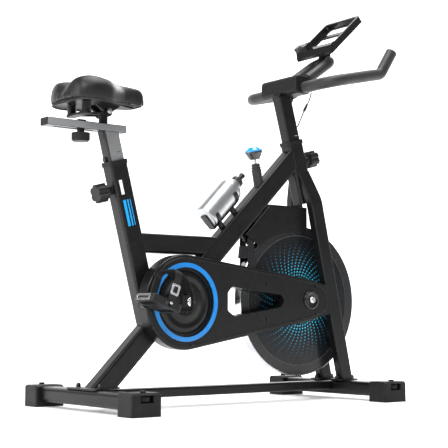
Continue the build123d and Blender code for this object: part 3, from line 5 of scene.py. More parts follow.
import bmesh
import bpy
from mathutils import Matrix, Vector


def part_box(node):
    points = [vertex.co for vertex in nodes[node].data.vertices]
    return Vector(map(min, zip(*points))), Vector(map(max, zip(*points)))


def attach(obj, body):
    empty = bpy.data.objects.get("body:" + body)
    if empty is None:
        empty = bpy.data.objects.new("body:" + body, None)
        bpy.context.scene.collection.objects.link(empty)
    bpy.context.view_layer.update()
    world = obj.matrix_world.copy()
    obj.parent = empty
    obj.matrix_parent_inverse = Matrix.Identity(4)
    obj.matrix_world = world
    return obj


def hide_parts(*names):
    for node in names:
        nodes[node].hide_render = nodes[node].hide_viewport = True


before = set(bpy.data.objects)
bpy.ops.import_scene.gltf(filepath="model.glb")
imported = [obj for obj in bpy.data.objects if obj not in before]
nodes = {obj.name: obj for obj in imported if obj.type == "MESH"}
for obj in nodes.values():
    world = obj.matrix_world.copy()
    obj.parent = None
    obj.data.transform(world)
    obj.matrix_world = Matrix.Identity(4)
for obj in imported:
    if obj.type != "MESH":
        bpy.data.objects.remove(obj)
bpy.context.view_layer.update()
scene = bpy.context.scene

# places and leans that repeat the CAD's own
CRANK = Vector((-0.146, 0.0, 0.291))
WHEEL = Vector((0.321, 0.0, 0.302))
SEAT_TUBE = (-0.337, 0.0, 0.660)
SEAT_LEAN = math.radians(14.7)
HEAD_TUBE = (0.312, 0.0, 0.768)
HEAD_LEAN = math.radians(15.6)
KNOB = (0.169, 0.0, 0.677)
KNOB_LEAN = math.radians(11)
BOTTLE_LEAN = math.radians(-45.2)
CRANK_LEN = 0.147
CRANK_DROP = math.radians(2)
PEDAL_Y = 0.145
PEDAL_PITCH = math.radians(20)
COVER_FACE_Y = -0.0698
RIM_R = 0.2272
VIEW_TURN = 37.956          # degrees that the camera turns right of +Y


# ---- Camera ------------------------------------------------------------------------------------
cam_data = bpy.data.cameras.new("camera")
cam = bpy.data.objects.new("camera", cam_data)
scene.collection.objects.link(cam)
scene.camera = cam
cam.location = (-2.0684, -2.7056, 0.2389)
cam.rotation_euler = (math.radians(90 + 4.737), 0, math.radians(-VIEW_TURN))
cam_data.lens = 94.0
cam_data.sensor_width = 36.0
cam_data.clip_start = 0.05
cam_data.clip_end = 60.0


# ---- Material tools ------------------------------------------------------------------------------
class Mat:
    """A node material with helpers that add nodes and link them."""

    def __init__(self, name, color, roughness, metallic=0.0, coat=0.0, coat_rough=0.1, specular=0.5):
        self.m = bpy.data.materials.new(name)
        self.m.use_nodes = True
        self.t = self.m.node_tree
        self.bsdf = self.t.nodes["Principled BSDF"]
        self.set("Base Color", (*color, 1.0))
        self.set("Roughness", roughness)
        self.set("Metallic", metallic)
        self.set("Coat Weight", coat)
        self.set("Coat Roughness", coat_rough)
        self.set("Specular IOR Level", specular)
        self.height = []
        self.coord = None

    def set(self, socket, value):
        self.bsdf.inputs[socket].default_value = value

    def node(self, kind, **settings):
        n = self.t.nodes.new(kind)
        for key, value in settings.items():
            setattr(n, key, value)
        return n

    def link(self, a, b):
        self.t.links.new(a, b)

    def position(self):
        if self.coord is None:
            self.coord = self.node("ShaderNodeTexCoord")
        return self.coord.outputs["Object"]

    def math(self, op, a, b=0.0, c=0.0):
        n = self.node("ShaderNodeMath", operation=op)
        for socket, value in zip(n.inputs, (a, b, c)):
            if isinstance(value, (int, float)):
                socket.default_value = value
            else:
                self.link(value, socket)
        return n.outputs[0]

    def xyz(self, origin=(0, 0, 0)):
        shift = self.node("ShaderNodeVectorMath", operation="SUBTRACT")
        self.link(self.position(), shift.inputs[0])
        shift.inputs[1].default_value = origin
        split = self.node("ShaderNodeSeparateXYZ")
        self.link(shift.outputs[0], split.inputs[0])
        return split.outputs

    def mapped(self, scale=(1, 1, 1), rotation=(0, 0, 0)):
        n = self.node("ShaderNodeMapping")
        self.link(self.position(), n.inputs["Vector"])
        n.inputs["Scale"].default_value = scale
        n.inputs["Rotation"].default_value = rotation
        return n.outputs[0]

    def noise(self, scale, detail=4.0, vector=None, rough=0.5, distortion=0.0):
        n = self.node("ShaderNodeTexNoise")
        self.link(vector if vector is not None else self.position(), n.inputs["Vector"])
        n.inputs["Scale"].default_value = scale
        n.inputs["Detail"].default_value = detail
        n.inputs["Roughness"].default_value = rough
        n.inputs["Distortion"].default_value = distortion
        return n.outputs[0]

    def voronoi(self, scale, feature="F1"):
        n = self.node("ShaderNodeTexVoronoi", feature=feature)
        self.link(self.position(), n.inputs["Vector"])
        n.inputs["Scale"].default_value = scale
        return n.outputs[0]

    def span(self, value, low, high, to_low=0.0, to_high=1.0):
        n = self.node("ShaderNodeMapRange")
        self.link(value, n.inputs["Value"])
        for key, number in (("From Min", low), ("From Max", high), ("To Min", to_low), ("To Max", to_high)):
            n.inputs[key].default_value = number
        return n.outputs[0]

    def mix(self, factor, a, b):
        n = self.node("ShaderNodeMix", data_type="RGBA")
        self.link(factor, n.inputs["Factor"])
        for socket, value in ((n.inputs["A"], a), (n.inputs["B"], b)):
            for s in n.inputs:
                if s.type == "RGBA" and s.name == socket.name:
                    if isinstance(value, tuple):
                        s.default_value = (*value, 1.0)
                    else:
                        self.link(value, s)
        return [o for o in n.outputs if o.type == "RGBA"][0]

    def color(self, value):
        self.link(value, self.bsdf.inputs["Base Color"])

    def rough(self, value):
        self.link(value, self.bsdf.inputs["Roughness"])

    def bump(self, height, strength=0.2, distance=0.001):
        self.height.append((height, strength, distance))

    def done(self, edge=0.0):
        normal = None
        if edge > 0:
            bevel = self.node("ShaderNodeBevel", samples=4)
            bevel.inputs["Radius"].default_value = edge
            normal = bevel.outputs[0]
        for height, strength, distance in self.height:
            n = self.node("ShaderNodeBump")
            n.inputs["Strength"].default_value = strength
            n.inputs["Distance"].default_value = distance
            self.link(height, n.inputs["Height"])
            if normal is not None:
                self.link(normal, n.inputs["Normal"])
            normal = n.outputs[0]
        if normal is not None:
            self.link(normal, self.bsdf.inputs["Normal"])
        return self.m


def paint(name, color=(0.0055, 0.0057, 0.0062), low=0.26, high=0.38, extra=None):
    """Satin powder coat: fine orange peel, faint dust and cloudy gloss."""
    m = Mat(name, color, 0.34, coat=0.05, coat_rough=0.2, specular=0.24)
    cloud = m.noise(9.0, 5.0)
    m.rough(m.span(cloud, 0.3, 0.7, low, high))
    dust = m.span(m.noise(34.0, 6.0, rough=0.7), 0.45, 0.8)
    tint = m.mix(dust, color, tuple(c * 1.4 + 0.002 for c in color))
    if extra is not None:
        tint = extra(m, tint)
    m.color(tint)
    m.bump(m.noise(620.0, 2.0), 0.10, 0.0004)
    m.bump(m.noise(75.0, 3.0), 0.05, 0.0008)
    return m.done(0.0012)


def plastic(name, color, low, high, grain=900.0, coat=0.0):
    """Moulded plastic with a fine spark-eroded grain."""
    m = Mat(name, color, 0.45, coat=coat, coat_rough=0.15, specular=0.24)
    m.rough(m.span(m.noise(14.0, 5.0), 0.3, 0.7, low, high))
    m.color(m.mix(m.span(m.noise(60.0, 5.0), 0.4, 0.8), color, tuple(c * 1.35 + 0.002 for c in color)))
    m.bump(m.voronoi(grain), 0.12, 0.0003)
    m.bump(m.noise(30.0, 2.0), 0.04, 0.001)
    return m.done(0.001)


def metal(name, color, low, high, strength=0.08):
    """Metal with a fine grain and cloudy gloss."""
    m = Mat(name, color, 0.25, metallic=1.0)
    lines = m.noise(220.0, 3.0)
    cloud = m.noise(22.0, 4.0)
    m.rough(m.span(m.math("ADD", m.math("MULTIPLY", lines, 0.5), m.math("MULTIPLY", cloud, 0.5)),
                   0.3, 0.7, low, high))
    m.color(m.mix(m.span(cloud, 0.35, 0.75), color, tuple(c * 0.86 for c in color)))
    m.bump(lines, strength, 0.0003)
    return m.done(0.0006)


# ---- Marks on the tubes ---------------------------------------------------------------------------
def lean_axes(m, x, z, lean):
    """Distances along and across a tube that leans back from upright."""
    c = math.cos(lean)
    s = math.sin(lean)
    along = m.math("ADD", m.math("MULTIPLY", x, -s), m.math("MULTIPLY", z, c))
    across = m.math("ADD", m.math("MULTIPLY", x, c), m.math("MULTIPLY", z, s))
    return along, across


def band(m, value, low, high):
    """1 where a value lies between two limits."""
    return m.math("MULTIPLY", m.math("GREATER_THAN", value, low), m.math("LESS_THAN", value, high))


def seat_stripes(m, tint):
    """A white bar and three blue bars on the near side of the seat tube."""
    x, y, z = m.xyz(SEAT_TUBE)[0:3]
    along, across = lean_axes(m, x, z, SEAT_LEAN)
    near = m.math("LESS_THAN", y, -0.0222)
    upper = m.math("MULTIPLY", band(m, along, -0.076, -0.036), band(m, across, -0.013, -0.0035))
    white = m.math("MULTIPLY", near, upper)
    tint = m.mix(white, tint, (0.85, 0.87, 0.88))
    lines = m.math("ADD", band(m, across, -0.013, -0.0045), band(m, across, 0.0, 0.0045))
    lines = m.math("ADD", lines, band(m, across, 0.009, 0.0115))
    blue = m.math("MULTIPLY", near, m.math("MULTIPLY", band(m, along, -0.165, -0.092), lines))
    return m.mix(blue, tint, (0.012, 0.33, 0.75))


def painted_lit_sides(m, tint):
    """Painted highlight: the saddle rail's side faces turn light grey, standing in for light falling from the
    side.
    """
    y = m.xyz()[1]
    # painted highlight: faces beyond |y| 0.02 get a light grey in place of the side light
    return m.mix(m.math("GREATER_THAN", m.math("ABSOLUTE", y), 0.0200), tint, (0.19, 0.195, 0.20))


def height_marks(origin, lean, s0, s1, sides=None):
    """Short height marks on the near side of a sliding post, whose side faces may get a painted highlight in
    light grey.
    """
    def extra(m, tint):
        x, y, z = m.xyz(origin)[0:3]
        along, across = lean_axes(m, x, z, lean)
        tick = m.math("LESS_THAN", m.math("FRACT", m.math("DIVIDE", along, 0.02)), 0.075)
        side = m.math("MULTIPLY", m.math("LESS_THAN", y, -0.0185), band(m, across, 0.004, 0.014))
        reach = band(m, along, s0, s1)
        # painted highlight: the given sides colour on faces beyond |y| 0.0186 stands in for light falling on
        # them
        if sides is not None:
            tint = m.mix(m.math("GREATER_THAN", m.math("ABSOLUTE", y), 0.0186), tint, sides)
        mark = (0.6, 0.6, 0.6) if sides is None else (0.03, 0.03, 0.03)
        return m.mix(m.math("MULTIPLY", m.math("MULTIPLY", tick, side), reach), tint, mark)
    return extra


black = paint("black_powder_coat")
seat_paint = paint("seat_tube_paint", (0.0065, 0.0067, 0.0075), 0.22, 0.34, extra=seat_stripes)
# the last colour given to height_marks is a painted highlight on the seat post's side faces
post_paint = paint("seat_post_paint", (0.016, 0.0163, 0.0175), 0.20, 0.32,
                   extra=height_marks(SEAT_TUBE, SEAT_LEAN, -0.2, 0.05, (0.17, 0.175, 0.18)))
rail_paint = paint("seat_rail_paint", (0.016, 0.0163, 0.0175), 0.20, 0.32, extra=painted_lit_sides)
bar_post_paint = paint("bar_post_paint", extra=height_marks(HEAD_TUBE, HEAD_LEAN, -0.13, 0.05))
cover_plastic = plastic("cover_plastic", (0.0055, 0.0056, 0.006), 0.25, 0.36, coat=0.04)
cap_plastic = plastic("cap_plastic", (0.006, 0.006, 0.0063), 0.38, 0.58, 700.0)
knob_plastic = plastic("knob_plastic", (0.008, 0.008, 0.0085), 0.34, 0.48, 1100.0)
gloss = plastic("gloss_black", (0.007, 0.007, 0.0075), 0.12, 0.24, 1500.0, coat=0.4)
pedal_plastic = plastic("pedal_plastic", (0.010, 0.010, 0.0105), 0.38, 0.55, 500.0)
steel = metal("zinc_steel", (0.58, 0.59, 0.61), 0.24, 0.42)
chrome = metal("chrome", (0.82, 0.83, 0.85), 0.05, 0.14, strength=0.02)
dark_metal = metal("black_oxide", (0.045, 0.046, 0.05), 0.28, 0.44)


def foam():
    """Soft grip foam with fine open pores."""
    m = Mat("grip_foam", (0.02, 0.02, 0.021), 0.6, specular=0.4)
    m.set("Sheen Weight", 0.15)
    m.rough(m.span(m.noise(25.0, 4.0), 0.3, 0.7, 0.40, 0.56))
    m.color(m.mix(m.span(m.noise(180.0, 5.0), 0.4, 0.75), (0.008, 0.008, 0.0085), (0.018, 0.018, 0.019)))
    m.bump(m.voronoi(1500.0), 0.25, 0.0003)
    m.bump(m.noise(45.0, 3.0), 0.08, 0.0012)
    return m.done()


def vinyl():
    """Saddle cover with a leather grain."""
    m = Mat("saddle_vinyl", (0.006, 0.006, 0.0065), 0.3, specular=0.30)
    m.rough(m.span(m.noise(30.0, 5.0), 0.3, 0.7, 0.36, 0.48))
    m.color(m.mix(m.span(m.voronoi(520.0, "DISTANCE_TO_EDGE"), 0.0, 0.12), (0.004, 0.004, 0.0045),
                  (0.009, 0.009, 0.0095)))
    m.bump(m.span(m.voronoi(520.0, "DISTANCE_TO_EDGE"), 0.0, 0.15), 0.07, 0.0003)
    m.bump(m.noise(26.0, 4.0, distortion=0.6), 0.05, 0.002)
    return m.done()


def polished_rim():
    """Wheel body: a polished tread with fine turned rings, and black sides."""
    m = Mat("polished_wheel", (0.78, 0.79, 0.80), 0.12, metallic=1.0)
    x, y, z = m.xyz(tuple(WHEEL))[0:3]
    r = m.math("SQRT", m.math("ADD", m.math("MULTIPLY", x, x), m.math("MULTIPLY", z, z)))
    rings = m.node("ShaderNodeTexNoise", noise_dimensions="1D")
    m.link(r, rings.inputs["W"])
    rings.inputs["Scale"].default_value = 2600.0
    rings.inputs["Detail"].default_value = 3.0
    tread = m.math("GREATER_THAN", r, RIM_R)
    m.rough(m.math("ADD", m.span(rings.outputs[0], 0.3, 0.7, 0.07, 0.18), m.span(tread, 0.0, 1.0, 0.14, 0.0)))
    bright = m.mix(m.span(m.noise(16.0, 4.0), 0.35, 0.7), (0.80, 0.81, 0.82), (0.66, 0.67, 0.69))
    m.color(m.mix(tread, (0.013, 0.0135, 0.015), bright))
    m.link(tread, m.bsdf.inputs["Metallic"])
    m.bump(rings.outputs[0], 0.05, 0.0002)
    return m.done(0.0008)


def dotted_disc():
    """Black wheel face with a fine groove, and rows of small blue dots that fade outwards."""
    m = Mat("dotted_disc", (0.012, 0.013, 0.015), 0.2, coat=0.1, coat_rough=0.08, specular=0.25)
    x, y, z = m.xyz(tuple(WHEEL))[0:3]
    r = m.math("SQRT", m.math("ADD", m.math("MULTIPLY", x, x), m.math("MULTIPLY", z, z)))
    turn = m.math("DIVIDE", m.math("ARCTAN2", z, x), 2 * math.pi)
    swirl = m.math("ADD", turn, m.math("MULTIPLY", r, 0.5))
    rows = 48.0
    a = m.math("SUBTRACT", m.math("FRACT", m.math("MULTIPLY", swirl, rows)), 0.5)
    arc = m.math("MULTIPLY", m.math("MULTIPLY", a, r), 2 * math.pi / rows)
    step = 0.0092
    b = m.math("MULTIPLY", m.math("SUBTRACT", m.math("FRACT", m.math("DIVIDE", r, step)), 0.5), step)
    d = m.math("SQRT", m.math("ADD", m.math("MULTIPLY", arc, arc), m.math("MULTIPLY", b, b)))
    size = m.span(r, 0.05, 0.19, 0.0031, 0.0013)
    dot = m.math("LESS_THAN", d, size)
    keep = m.math("MULTIPLY", m.math("GREATER_THAN", r, 0.045), m.math("LESS_THAN", r, 0.190))
    fade = m.span(r, 0.09, 0.192, 1.0, 0.0)
    mask = m.math("MULTIPLY", m.math("MULTIPLY", dot, keep), fade)
    base = m.mix(m.span(m.noise(20.0, 4.0), 0.35, 0.75), (0.008, 0.0085, 0.0095), (0.014, 0.015, 0.017))
    groove = m.math("LESS_THAN", m.math("ABSOLUTE", m.math("SUBTRACT", r, 0.198)), 0.0012)
    base = m.mix(groove, base, (0.09, 0.095, 0.10))
    m.color(m.mix(mask, base, m.mix(m.span(r, 0.06, 0.16), (0.05, 0.70, 0.95), (0.02, 0.40, 0.78))))
    m.rough(m.span(m.noise(11.0, 4.0), 0.3, 0.7, 0.14, 0.26))
    m.bump(m.noise(500.0, 2.0), 0.04, 0.0002)
    return m.done(0.0006)


def blue_gloss(name):
    """Glossy blue plastic."""
    m = Mat(name, (0.008, 0.34, 0.80), 0.16, coat=0.6, coat_rough=0.06)
    m.color(m.mix(m.span(m.noise(12.0, 4.0), 0.35, 0.7), (0.004, 0.20, 0.62), (0.010, 0.26, 0.70)))
    m.rough(m.span(m.noise(40.0, 4.0), 0.3, 0.7, 0.12, 0.22))
    m.bump(m.noise(260.0, 2.0), 0.04, 0.0003)
    return m.done(0.0008)


def knob_two_tone():
    """Blue cap above the knob's rim, black body below."""
    m = Mat("resistance_knob", (0.02, 0.02, 0.02), 0.2, coat=0.5, coat_rough=0.06)
    x, y, z = m.xyz(KNOB)[0:3]
    along, across = lean_axes(m, x, z, KNOB_LEAN)
    top = m.math("GREATER_THAN", along, KNOB_BLUE)
    m.color(m.mix(top, m.mix(m.noise(40.0), (0.014, 0.014, 0.015), (0.028, 0.028, 0.03)),
                  m.mix(m.noise(14.0), (0.005, 0.22, 0.58), (0.012, 0.30, 0.68))))
    m.rough(m.span(m.noise(50.0, 4.0), 0.3, 0.7, 0.14, 0.3))
    m.bump(m.noise(400.0, 2.0), 0.05, 0.0003)
    return m.done(0.0008)


def rubber(name, ribs=None):
    """Matt rubber, with ribs across it where a spacing is given."""
    m = Mat(name, (0.014, 0.014, 0.014), 0.6)
    m.rough(m.span(m.noise(60.0, 4.0), 0.3, 0.7, 0.5, 0.7))
    m.color(m.mix(m.span(m.noise(90.0, 4.0), 0.4, 0.7), (0.008, 0.008, 0.008), (0.016, 0.016, 0.016)))
    if ribs:
        w = m.node("ShaderNodeTexWave", bands_direction="Y")
        m.link(m.position(), w.inputs["Vector"])
        w.inputs["Scale"].default_value = ribs
        m.bump(w.outputs["Fac"] if "Fac" in w.outputs else w.outputs[1], 0.4, 0.0008)
    m.bump(m.noise(400.0, 2.0), 0.15, 0.0004)
    return m.done(0.0004)


def brushed_bottle():
    """Brushed aluminium, the brush marks running round the bottle."""
    m = Mat("bottle_aluminium", (0.74, 0.75, 0.76), 0.3, metallic=1.0)
    v = m.mapped((1, 1, 1), (0, BOTTLE_LEAN, 0))
    stretched = m.node("ShaderNodeVectorMath", operation="MULTIPLY")
    m.link(v, stretched.inputs[0])
    stretched.inputs[1].default_value = (0.03, 0.03, 1.0)
    lines = m.noise(900.0, 3.0, vector=stretched.outputs[0])
    m.rough(m.span(lines, 0.3, 0.7, 0.28, 0.42))
    m.color(m.mix(m.span(m.noise(18.0, 4.0), 0.35, 0.7), (0.56, 0.57, 0.58), (0.46, 0.47, 0.49)))
    m.bump(lines, 0.06, 0.0002)
    return m.done(0.0008)


knob_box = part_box("resistance_knob")
KNOB_BLUE = (knob_box[1][2] - KNOB[2]) * 0.98 - 0.013      # where the knob turns blue, along its axis
foam_m = foam()
vinyl_m = vinyl()
rim_m = polished_rim()
disc_m = dotted_disc()
blue_m = blue_gloss("blue_ring")
knob_m = knob_two_tone()
belt_m = rubber("belt_rubber", 90.0)
boot_m = rubber("boot_rubber")
bottle_m = brushed_bottle()

FINISH = {
    "main_tube": black, "head_tube": black, "seat_tube": seat_paint, "brace_tube": black,
    "bottom_bracket_shell": black, "fork_leg_right": black, "fork_leg_left": black, "base_tube": black,
    "rear_stabiliser": black, "front_stabiliser": black, "handlebar": black, "handlebar_post": bar_post_paint,
    "seat_post": post_paint, "seat_rail": rail_paint, "console_mount": knob_plastic, "end_caps": cap_plastic,
    "post_collars": cap_plastic, "belt_cover_outer": cover_plastic, "belt_cover_inner": cover_plastic,
    "flywheel_guard": cover_plastic, "resistance_sleeve": boot_m, "seat_post_knob": knob_plastic,
    "handlebar_post_knob": knob_plastic, "slider_knob": knob_plastic, "saddle_base": cap_plastic,
    "centre_cover": cap_plastic, "bottle_cage": black, "bottle_lid": gloss, "bottle_valve": gloss,
    "pedal_right": pedal_plastic, "pedal_left": pedal_plastic, "toe_cage_right": pedal_plastic,
    "toe_cage_left": pedal_plastic, "leveller_rear_right": cap_plastic, "leveller_rear_left": cap_plastic,
    "leveller_front_right": cap_plastic, "leveller_front_left": cap_plastic, "drive_pulley": cap_plastic,
    "cover_ring": blue_m, "ball_bearings": steel, "crank_axle": steel, "crank_arms": black,
    "pedal_spindles": steel, "flywheel": rim_m, "flywheel_side_discs": disc_m, "flywheel_pulley": steel,
    "flywheel_axle": steel, "drive_belt": belt_m, "magnet_yoke": dark_metal, "resistance_rod": steel,
    "resistance_knob": knob_m, "saddle_carriage": black, "saddle_pad": vinyl_m, "handlebar_grips": foam_m,
    "tablet_holder": gloss, "display": gloss, "display_button": knob_plastic, "sensor_cable": boot_m,
    "bottle_body": bottle_m, "fasteners": dark_metal,
}
for name, node in nodes.items():
    finish = FINISH[name]
    if not node.material_slots:
        node.data.materials.append(finish)
    for one in node.material_slots:
        one.material = finish


# ---- Mesh tools ------------------------------------------------------------------------------------
def add_mesh(name, mesh, material, body, smooth=True):
    """Puts a mesh in the scene as a piece that rides on a body."""
    mesh.materials.clear()
    mesh.materials.append(material)
    for poly in mesh.polygons:
        poly.use_smooth = smooth
    piece = bpy.data.objects.new(name, mesh)
    scene.collection.objects.link(piece)
    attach(piece, body)
    return piece


def from_bmesh(name, bm, material, body, smooth=True):
    """Makes a piece from a bmesh, which it frees."""
    mesh = bpy.data.meshes.new(name)
    bmesh.ops.recalc_face_normals(bm, faces=bm.faces)
    bm.to_mesh(mesh)
    bm.free()
    return add_mesh(name, mesh, material, body, smooth)


def modify(piece, kind, **settings):
    """Adds a modifier with its settings."""
    mod = piece.modifiers.new(kind.lower(), kind)
    for key, value in settings.items():
        setattr(mod, key, value)
    return mod


def basis(origin, along, up=(0, 1, 0)):
    """Matrix whose Z runs along a direction and whose Y is as near as it gets to up."""
    z = Vector(along).normalized()
    x = Vector(up).cross(z).normalized()
    y = z.cross(x)
    m = Matrix((x, y, z)).transposed().to_4x4()
    m.translation = Vector(origin)
    return m


def turned(name, profile, place, material, body, steps=48, ring=False):
    """A piece turned from (radius, height) pairs about a place's Z; a ring stays open in the middle."""
    bm = bmesh.new()
    rings = []
    for r, h in profile:
        loop = []
        for i in range(steps):
            a = 2 * math.pi * i / steps
            loop.append(bm.verts.new(place @ Vector((r * math.cos(a), r * math.sin(a), h))))
        rings.append(loop)
    for low, high in zip(rings, rings[1:] + (rings[:1] if ring else [])):
        for i in range(steps):
            j = (i + 1) % steps
            bm.faces.new((low[i], low[j], high[j], high[i]))
    if not ring:
        bm.faces.new(list(reversed(rings[0])))
        bm.faces.new(rings[-1])
    return from_bmesh(name, bm, material, body)


def tube(name, points, radius, material, body, closed=False):
    """A round bar along a smooth line."""
    curve = bpy.data.curves.new(name, "CURVE")
    curve.dimensions = "3D"
    curve.bevel_depth = radius
    curve.bevel_resolution = 4
    curve.use_fill_caps = True
    curve.resolution_u = 8
    spline = curve.splines.new("NURBS")
    spline.points.add(len(points) - 1)
    for p, co in zip(spline.points, points):
        p.co = (*co, 1)
    spline.order_u = 3
    spline.use_endpoint_u = not closed
    spline.use_cyclic_u = closed
    curve.materials.append(material)
    piece = bpy.data.objects.new(name, curve)
    scene.collection.objects.link(piece)
    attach(piece, body)
    return piece


# ---- Sensor cable ----------------------------------------------------------------------------------
CABLE = [(0.296, -0.105, 0.9303), (0.298, -0.100, 0.914), (0.309, -0.060, 0.886), (0.318, -0.024, 0.848),
         (0.3205, -0.0135, 0.8385)]
cable = tube("sensor_lead", CABLE, 0.0019, boot_m, "bars")
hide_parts("sensor_cable")


def curve_points(piece):
    """Points along a curve's own line, in the row frame."""
    data = piece.data.copy()
    data.bevel_depth = 0
    bare = bpy.data.objects.new("bare_line", data)
    mesh = bpy.data.meshes.new_from_object(bare)
    points = [v.co.copy() for v in mesh.vertices]
    bpy.data.objects.remove(bare)
    return points


line = curve_points(cable)
mid = line[int(len(line) * 0.46)]
ahead = line[int(len(line) * 0.46) + 1] - mid
plug = turned("lead_connector", [(0.0021, -0.014), (0.0032, -0.0135), (0.0036, -0.010), (0.0036, -0.001),
                                 (0.0044, 0.000), (0.0046, 0.009), (0.0038, 0.0125), (0.0021, 0.014)],
              basis(mid, ahead), knob_plastic, "bars", 24)


# ---- Saddle ----------------------------------------------------------------------------------------
def curve_value(table, x):
    """Value of a smooth curve through the (x, value) pairs of a table."""
    n = len(table)
    k = 0
    while k < n - 2 and x > table[k + 1][0]:
        k += 1

    def slope(i):
        (xa, va), (xb, vb) = table[max(i - 1, 0)], table[min(i + 1, n - 1)]
        return (vb - va) / (xb - xa)

    (x0, v0), (x1, v1) = table[k], table[k + 1]
    w = x1 - x0
    t = min(1.0, max(0.0, (x - x0) / w))
    return ((2 * t ** 3 - 3 * t ** 2 + 1) * v0 + (t ** 3 - 2 * t ** 2 + t) * w * slope(k)
            + (3 * t ** 2 - 2 * t ** 3) * v1 + (t ** 3 - t ** 2) * w * slope(k + 1))


HALF = [(-0.515, 0.050), (-0.500, 0.078), (-0.470, 0.097), (-0.440, 0.1005), (-0.405, 0.092), (-0.370, 0.066),
        (-0.335, 0.043), (-0.300, 0.034), (-0.270, 0.031), (-0.250, 0.024)]
TOP = [(-0.515, 0.862), (-0.495, 0.875), (-0.460, 0.882), (-0.410, 0.884), (-0.360, 0.884), (-0.310, 0.886),
       (-0.270, 0.883), (-0.250, 0.871)]
LOW = [(-0.515, 0.826), (-0.480, 0.8215), (-0.440, 0.821), (-0.390, 0.8225), (-0.340, 0.828), (-0.250, 0.833)]


LOBES = [(-0.515, 0.010), (-0.47, 0.014), (-0.41, 0.008), (-0.35, 0.003), (-0.25, 0.0)]
SADDLE_REAR = -0.5135
SADDLE_LEN = 0.262
SHOULDER = 0.72             # share of the half width where the skirt turns down
TOP_SHARE = 0.42            # share of the height that the top falls before the shoulder
SEAM_DROP = 0.002


def saddle_point(u, v):
    """u 0 rear to 1 nose; v -1 right skirt, 0 middle, 1 left skirt."""
    x = SADDLE_REAR + SADDLE_LEN * u
    half = curve_value(HALF, x)
    ends = min(1.0, u / 0.075) if u < 0.5 else min(1.0, (1 - u) / 0.085)
    half *= math.sqrt(max(0.0, 1 - (1 - ends) ** 2)) * 0.70 + 0.30
    top = curve_value(TOP, x)
    low = curve_value(LOW, x)
    a = abs(v)
    y = half * math.sin(min(1.0, a / SHOULDER) * math.pi / 2) ** 0.9
    lobes = curve_value(LOBES, x)
    if a <= SHOULDER:
        t = a / SHOULDER
        drop = (top - low) * TOP_SHARE * t ** 3.2
        hump = lobes * math.sin(min(1.0, t * 1.25) * math.pi) - lobes * 0.45 * math.exp(-(t / 0.30) ** 2)
        z = top - drop + hump - SEAM_DROP
    else:
        t = (a - SHOULDER) / (1 - SHOULDER)
        z = top - (top - low) * (TOP_SHARE + (1 - TOP_SHARE) * t) - SEAM_DROP
        y = half * (1 - 0.06 * t * t)
    end_drop = (1 - math.sqrt(max(0.0, 1 - (1 - ends) ** 2))) * (top - low) * 0.75
    z -= end_drop * (1 - a ** 3)
    return Vector((x, y * (1 if v >= 0 else -1), max(z, low)))


def make_saddle():
    """The saddle cover as one closed skin."""
    bm = bmesh.new()
    nu, nv = 60, 52
    grid = []
    for i in range(nu + 1):
        row = []
        for j in range(nv + 1):
            row.append(bm.verts.new(saddle_point(i / nu, -1 + 2 * j / nv)))
        grid.append(row)
    for i in range(nu):
        for j in range(nv):
            bm.faces.new((grid[i][j], grid[i + 1][j], grid[i + 1][j + 1], grid[i][j + 1]))
    # the underside closes a little way in from the skirt
    under = []
    for i in range(nu + 1):
        a, b = grid[i][0].co, grid[i][nv].co
        under.append([bm.verts.new((a.x, a.y * k, a.z + 0.007)) for k in (0.86, 0.5, 0.0, -0.5, -0.86)])
    for i in range(nu):
        left = [grid[i][0]] + under[i] + [grid[i][nv]]
        right = [grid[i + 1][0]] + under[i + 1] + [grid[i + 1][nv]]
        for k in range(len(left) - 1):
            bm.faces.new((left[k], left[k + 1], right[k + 1], right[k]))
    for i in (0, nu):
        ring = list(grid[i]) + list(reversed(under[i]))
        bm.faces.new(ring)
    bmesh.ops.remove_doubles(bm, verts=bm.verts, dist=0.0002)
    return from_bmesh("saddle_cover", bm, vinyl_m, "saddle")


saddle = make_saddle()


def bake(piece):
    """Applies every modifier on a piece."""
    depsgraph = bpy.context.evaluated_depsgraph_get()
    mesh = bpy.data.meshes.new_from_object(piece.evaluated_get(depsgraph))
    old = piece.data
    piece.modifiers.clear()
    piece.data = mesh
    mesh.name = old.name
    for poly in mesh.polygons:
        poly.use_smooth = True


def settle_cloth(piece, cap=0.006):
    """Inflates the padded cover a little with cloth, holds its lower edge, and keeps the result."""
    remesh = modify(piece, "REMESH", mode="VOXEL", voxel_size=0.0042)
    remesh.use_smooth_shade = True
    bake(piece)
    start = [v.co.copy() for v in piece.data.vertices]
    pin = piece.vertex_groups.new(name="pin")
    for v in piece.data.vertices:
        low = curve_value(LOW, v.co.x)
        hold = 1.0 if v.co.z < low + 0.012 else 0.0
        pin.add([v.index], hold, "REPLACE")
    cloth = modify(piece, "CLOTH")
    cs = cloth.settings
    cs.quality = 5
    cs.use_pressure = True
    cs.uniform_pressure_force = 3.0
    cs.effector_weights.gravity = 0.0
    cs.vertex_group_mass = "pin"
    cs.tension_stiffness = 18
    cs.compression_stiffness = 12
    cs.bending_stiffness = 2.0
    for f in range(1, 15):
        scene.frame_set(f)
    bake(piece)
    scene.frame_set(1)
    for v, s in zip(piece.data.vertices, start):
        move = v.co - s
        if move.length > cap:
            v.co = s + move.normalized() * cap
    piece.vertex_groups.clear()


settle_cloth(saddle)
modify(saddle, "SMOOTH", factor=0.5, iterations=12)
bake(saddle)
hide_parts("saddle_pad")

edge = []
for side in (-1, 1):
    steps = [i / 30 for i in range(2, 29)]
    if side > 0:
        steps = list(reversed(steps))
    for u in steps:
        p = saddle_point(u, side * 0.985)
        edge.append((p.x, p.y, p.z + 0.0015))
tube("saddle_piping", edge, 0.0021, rubber("piping_vinyl"), "saddle", closed=True)

# two coil springs under the saddle's rear
for side in (-1, 1):
    coil = []
    for i in range(73):
        a = 2 * math.pi * i / 12
        x = -0.455 + 0.0112 * math.cos(a)
        y = side * 0.038 + 0.0112 * math.sin(a)
        coil.append((x, y, 0.799 + 0.026 * i / 72))
    tube(f"saddle_spring_{'left' if side > 0 else 'right'}", coil, 0.0019, dark_metal, "saddle")


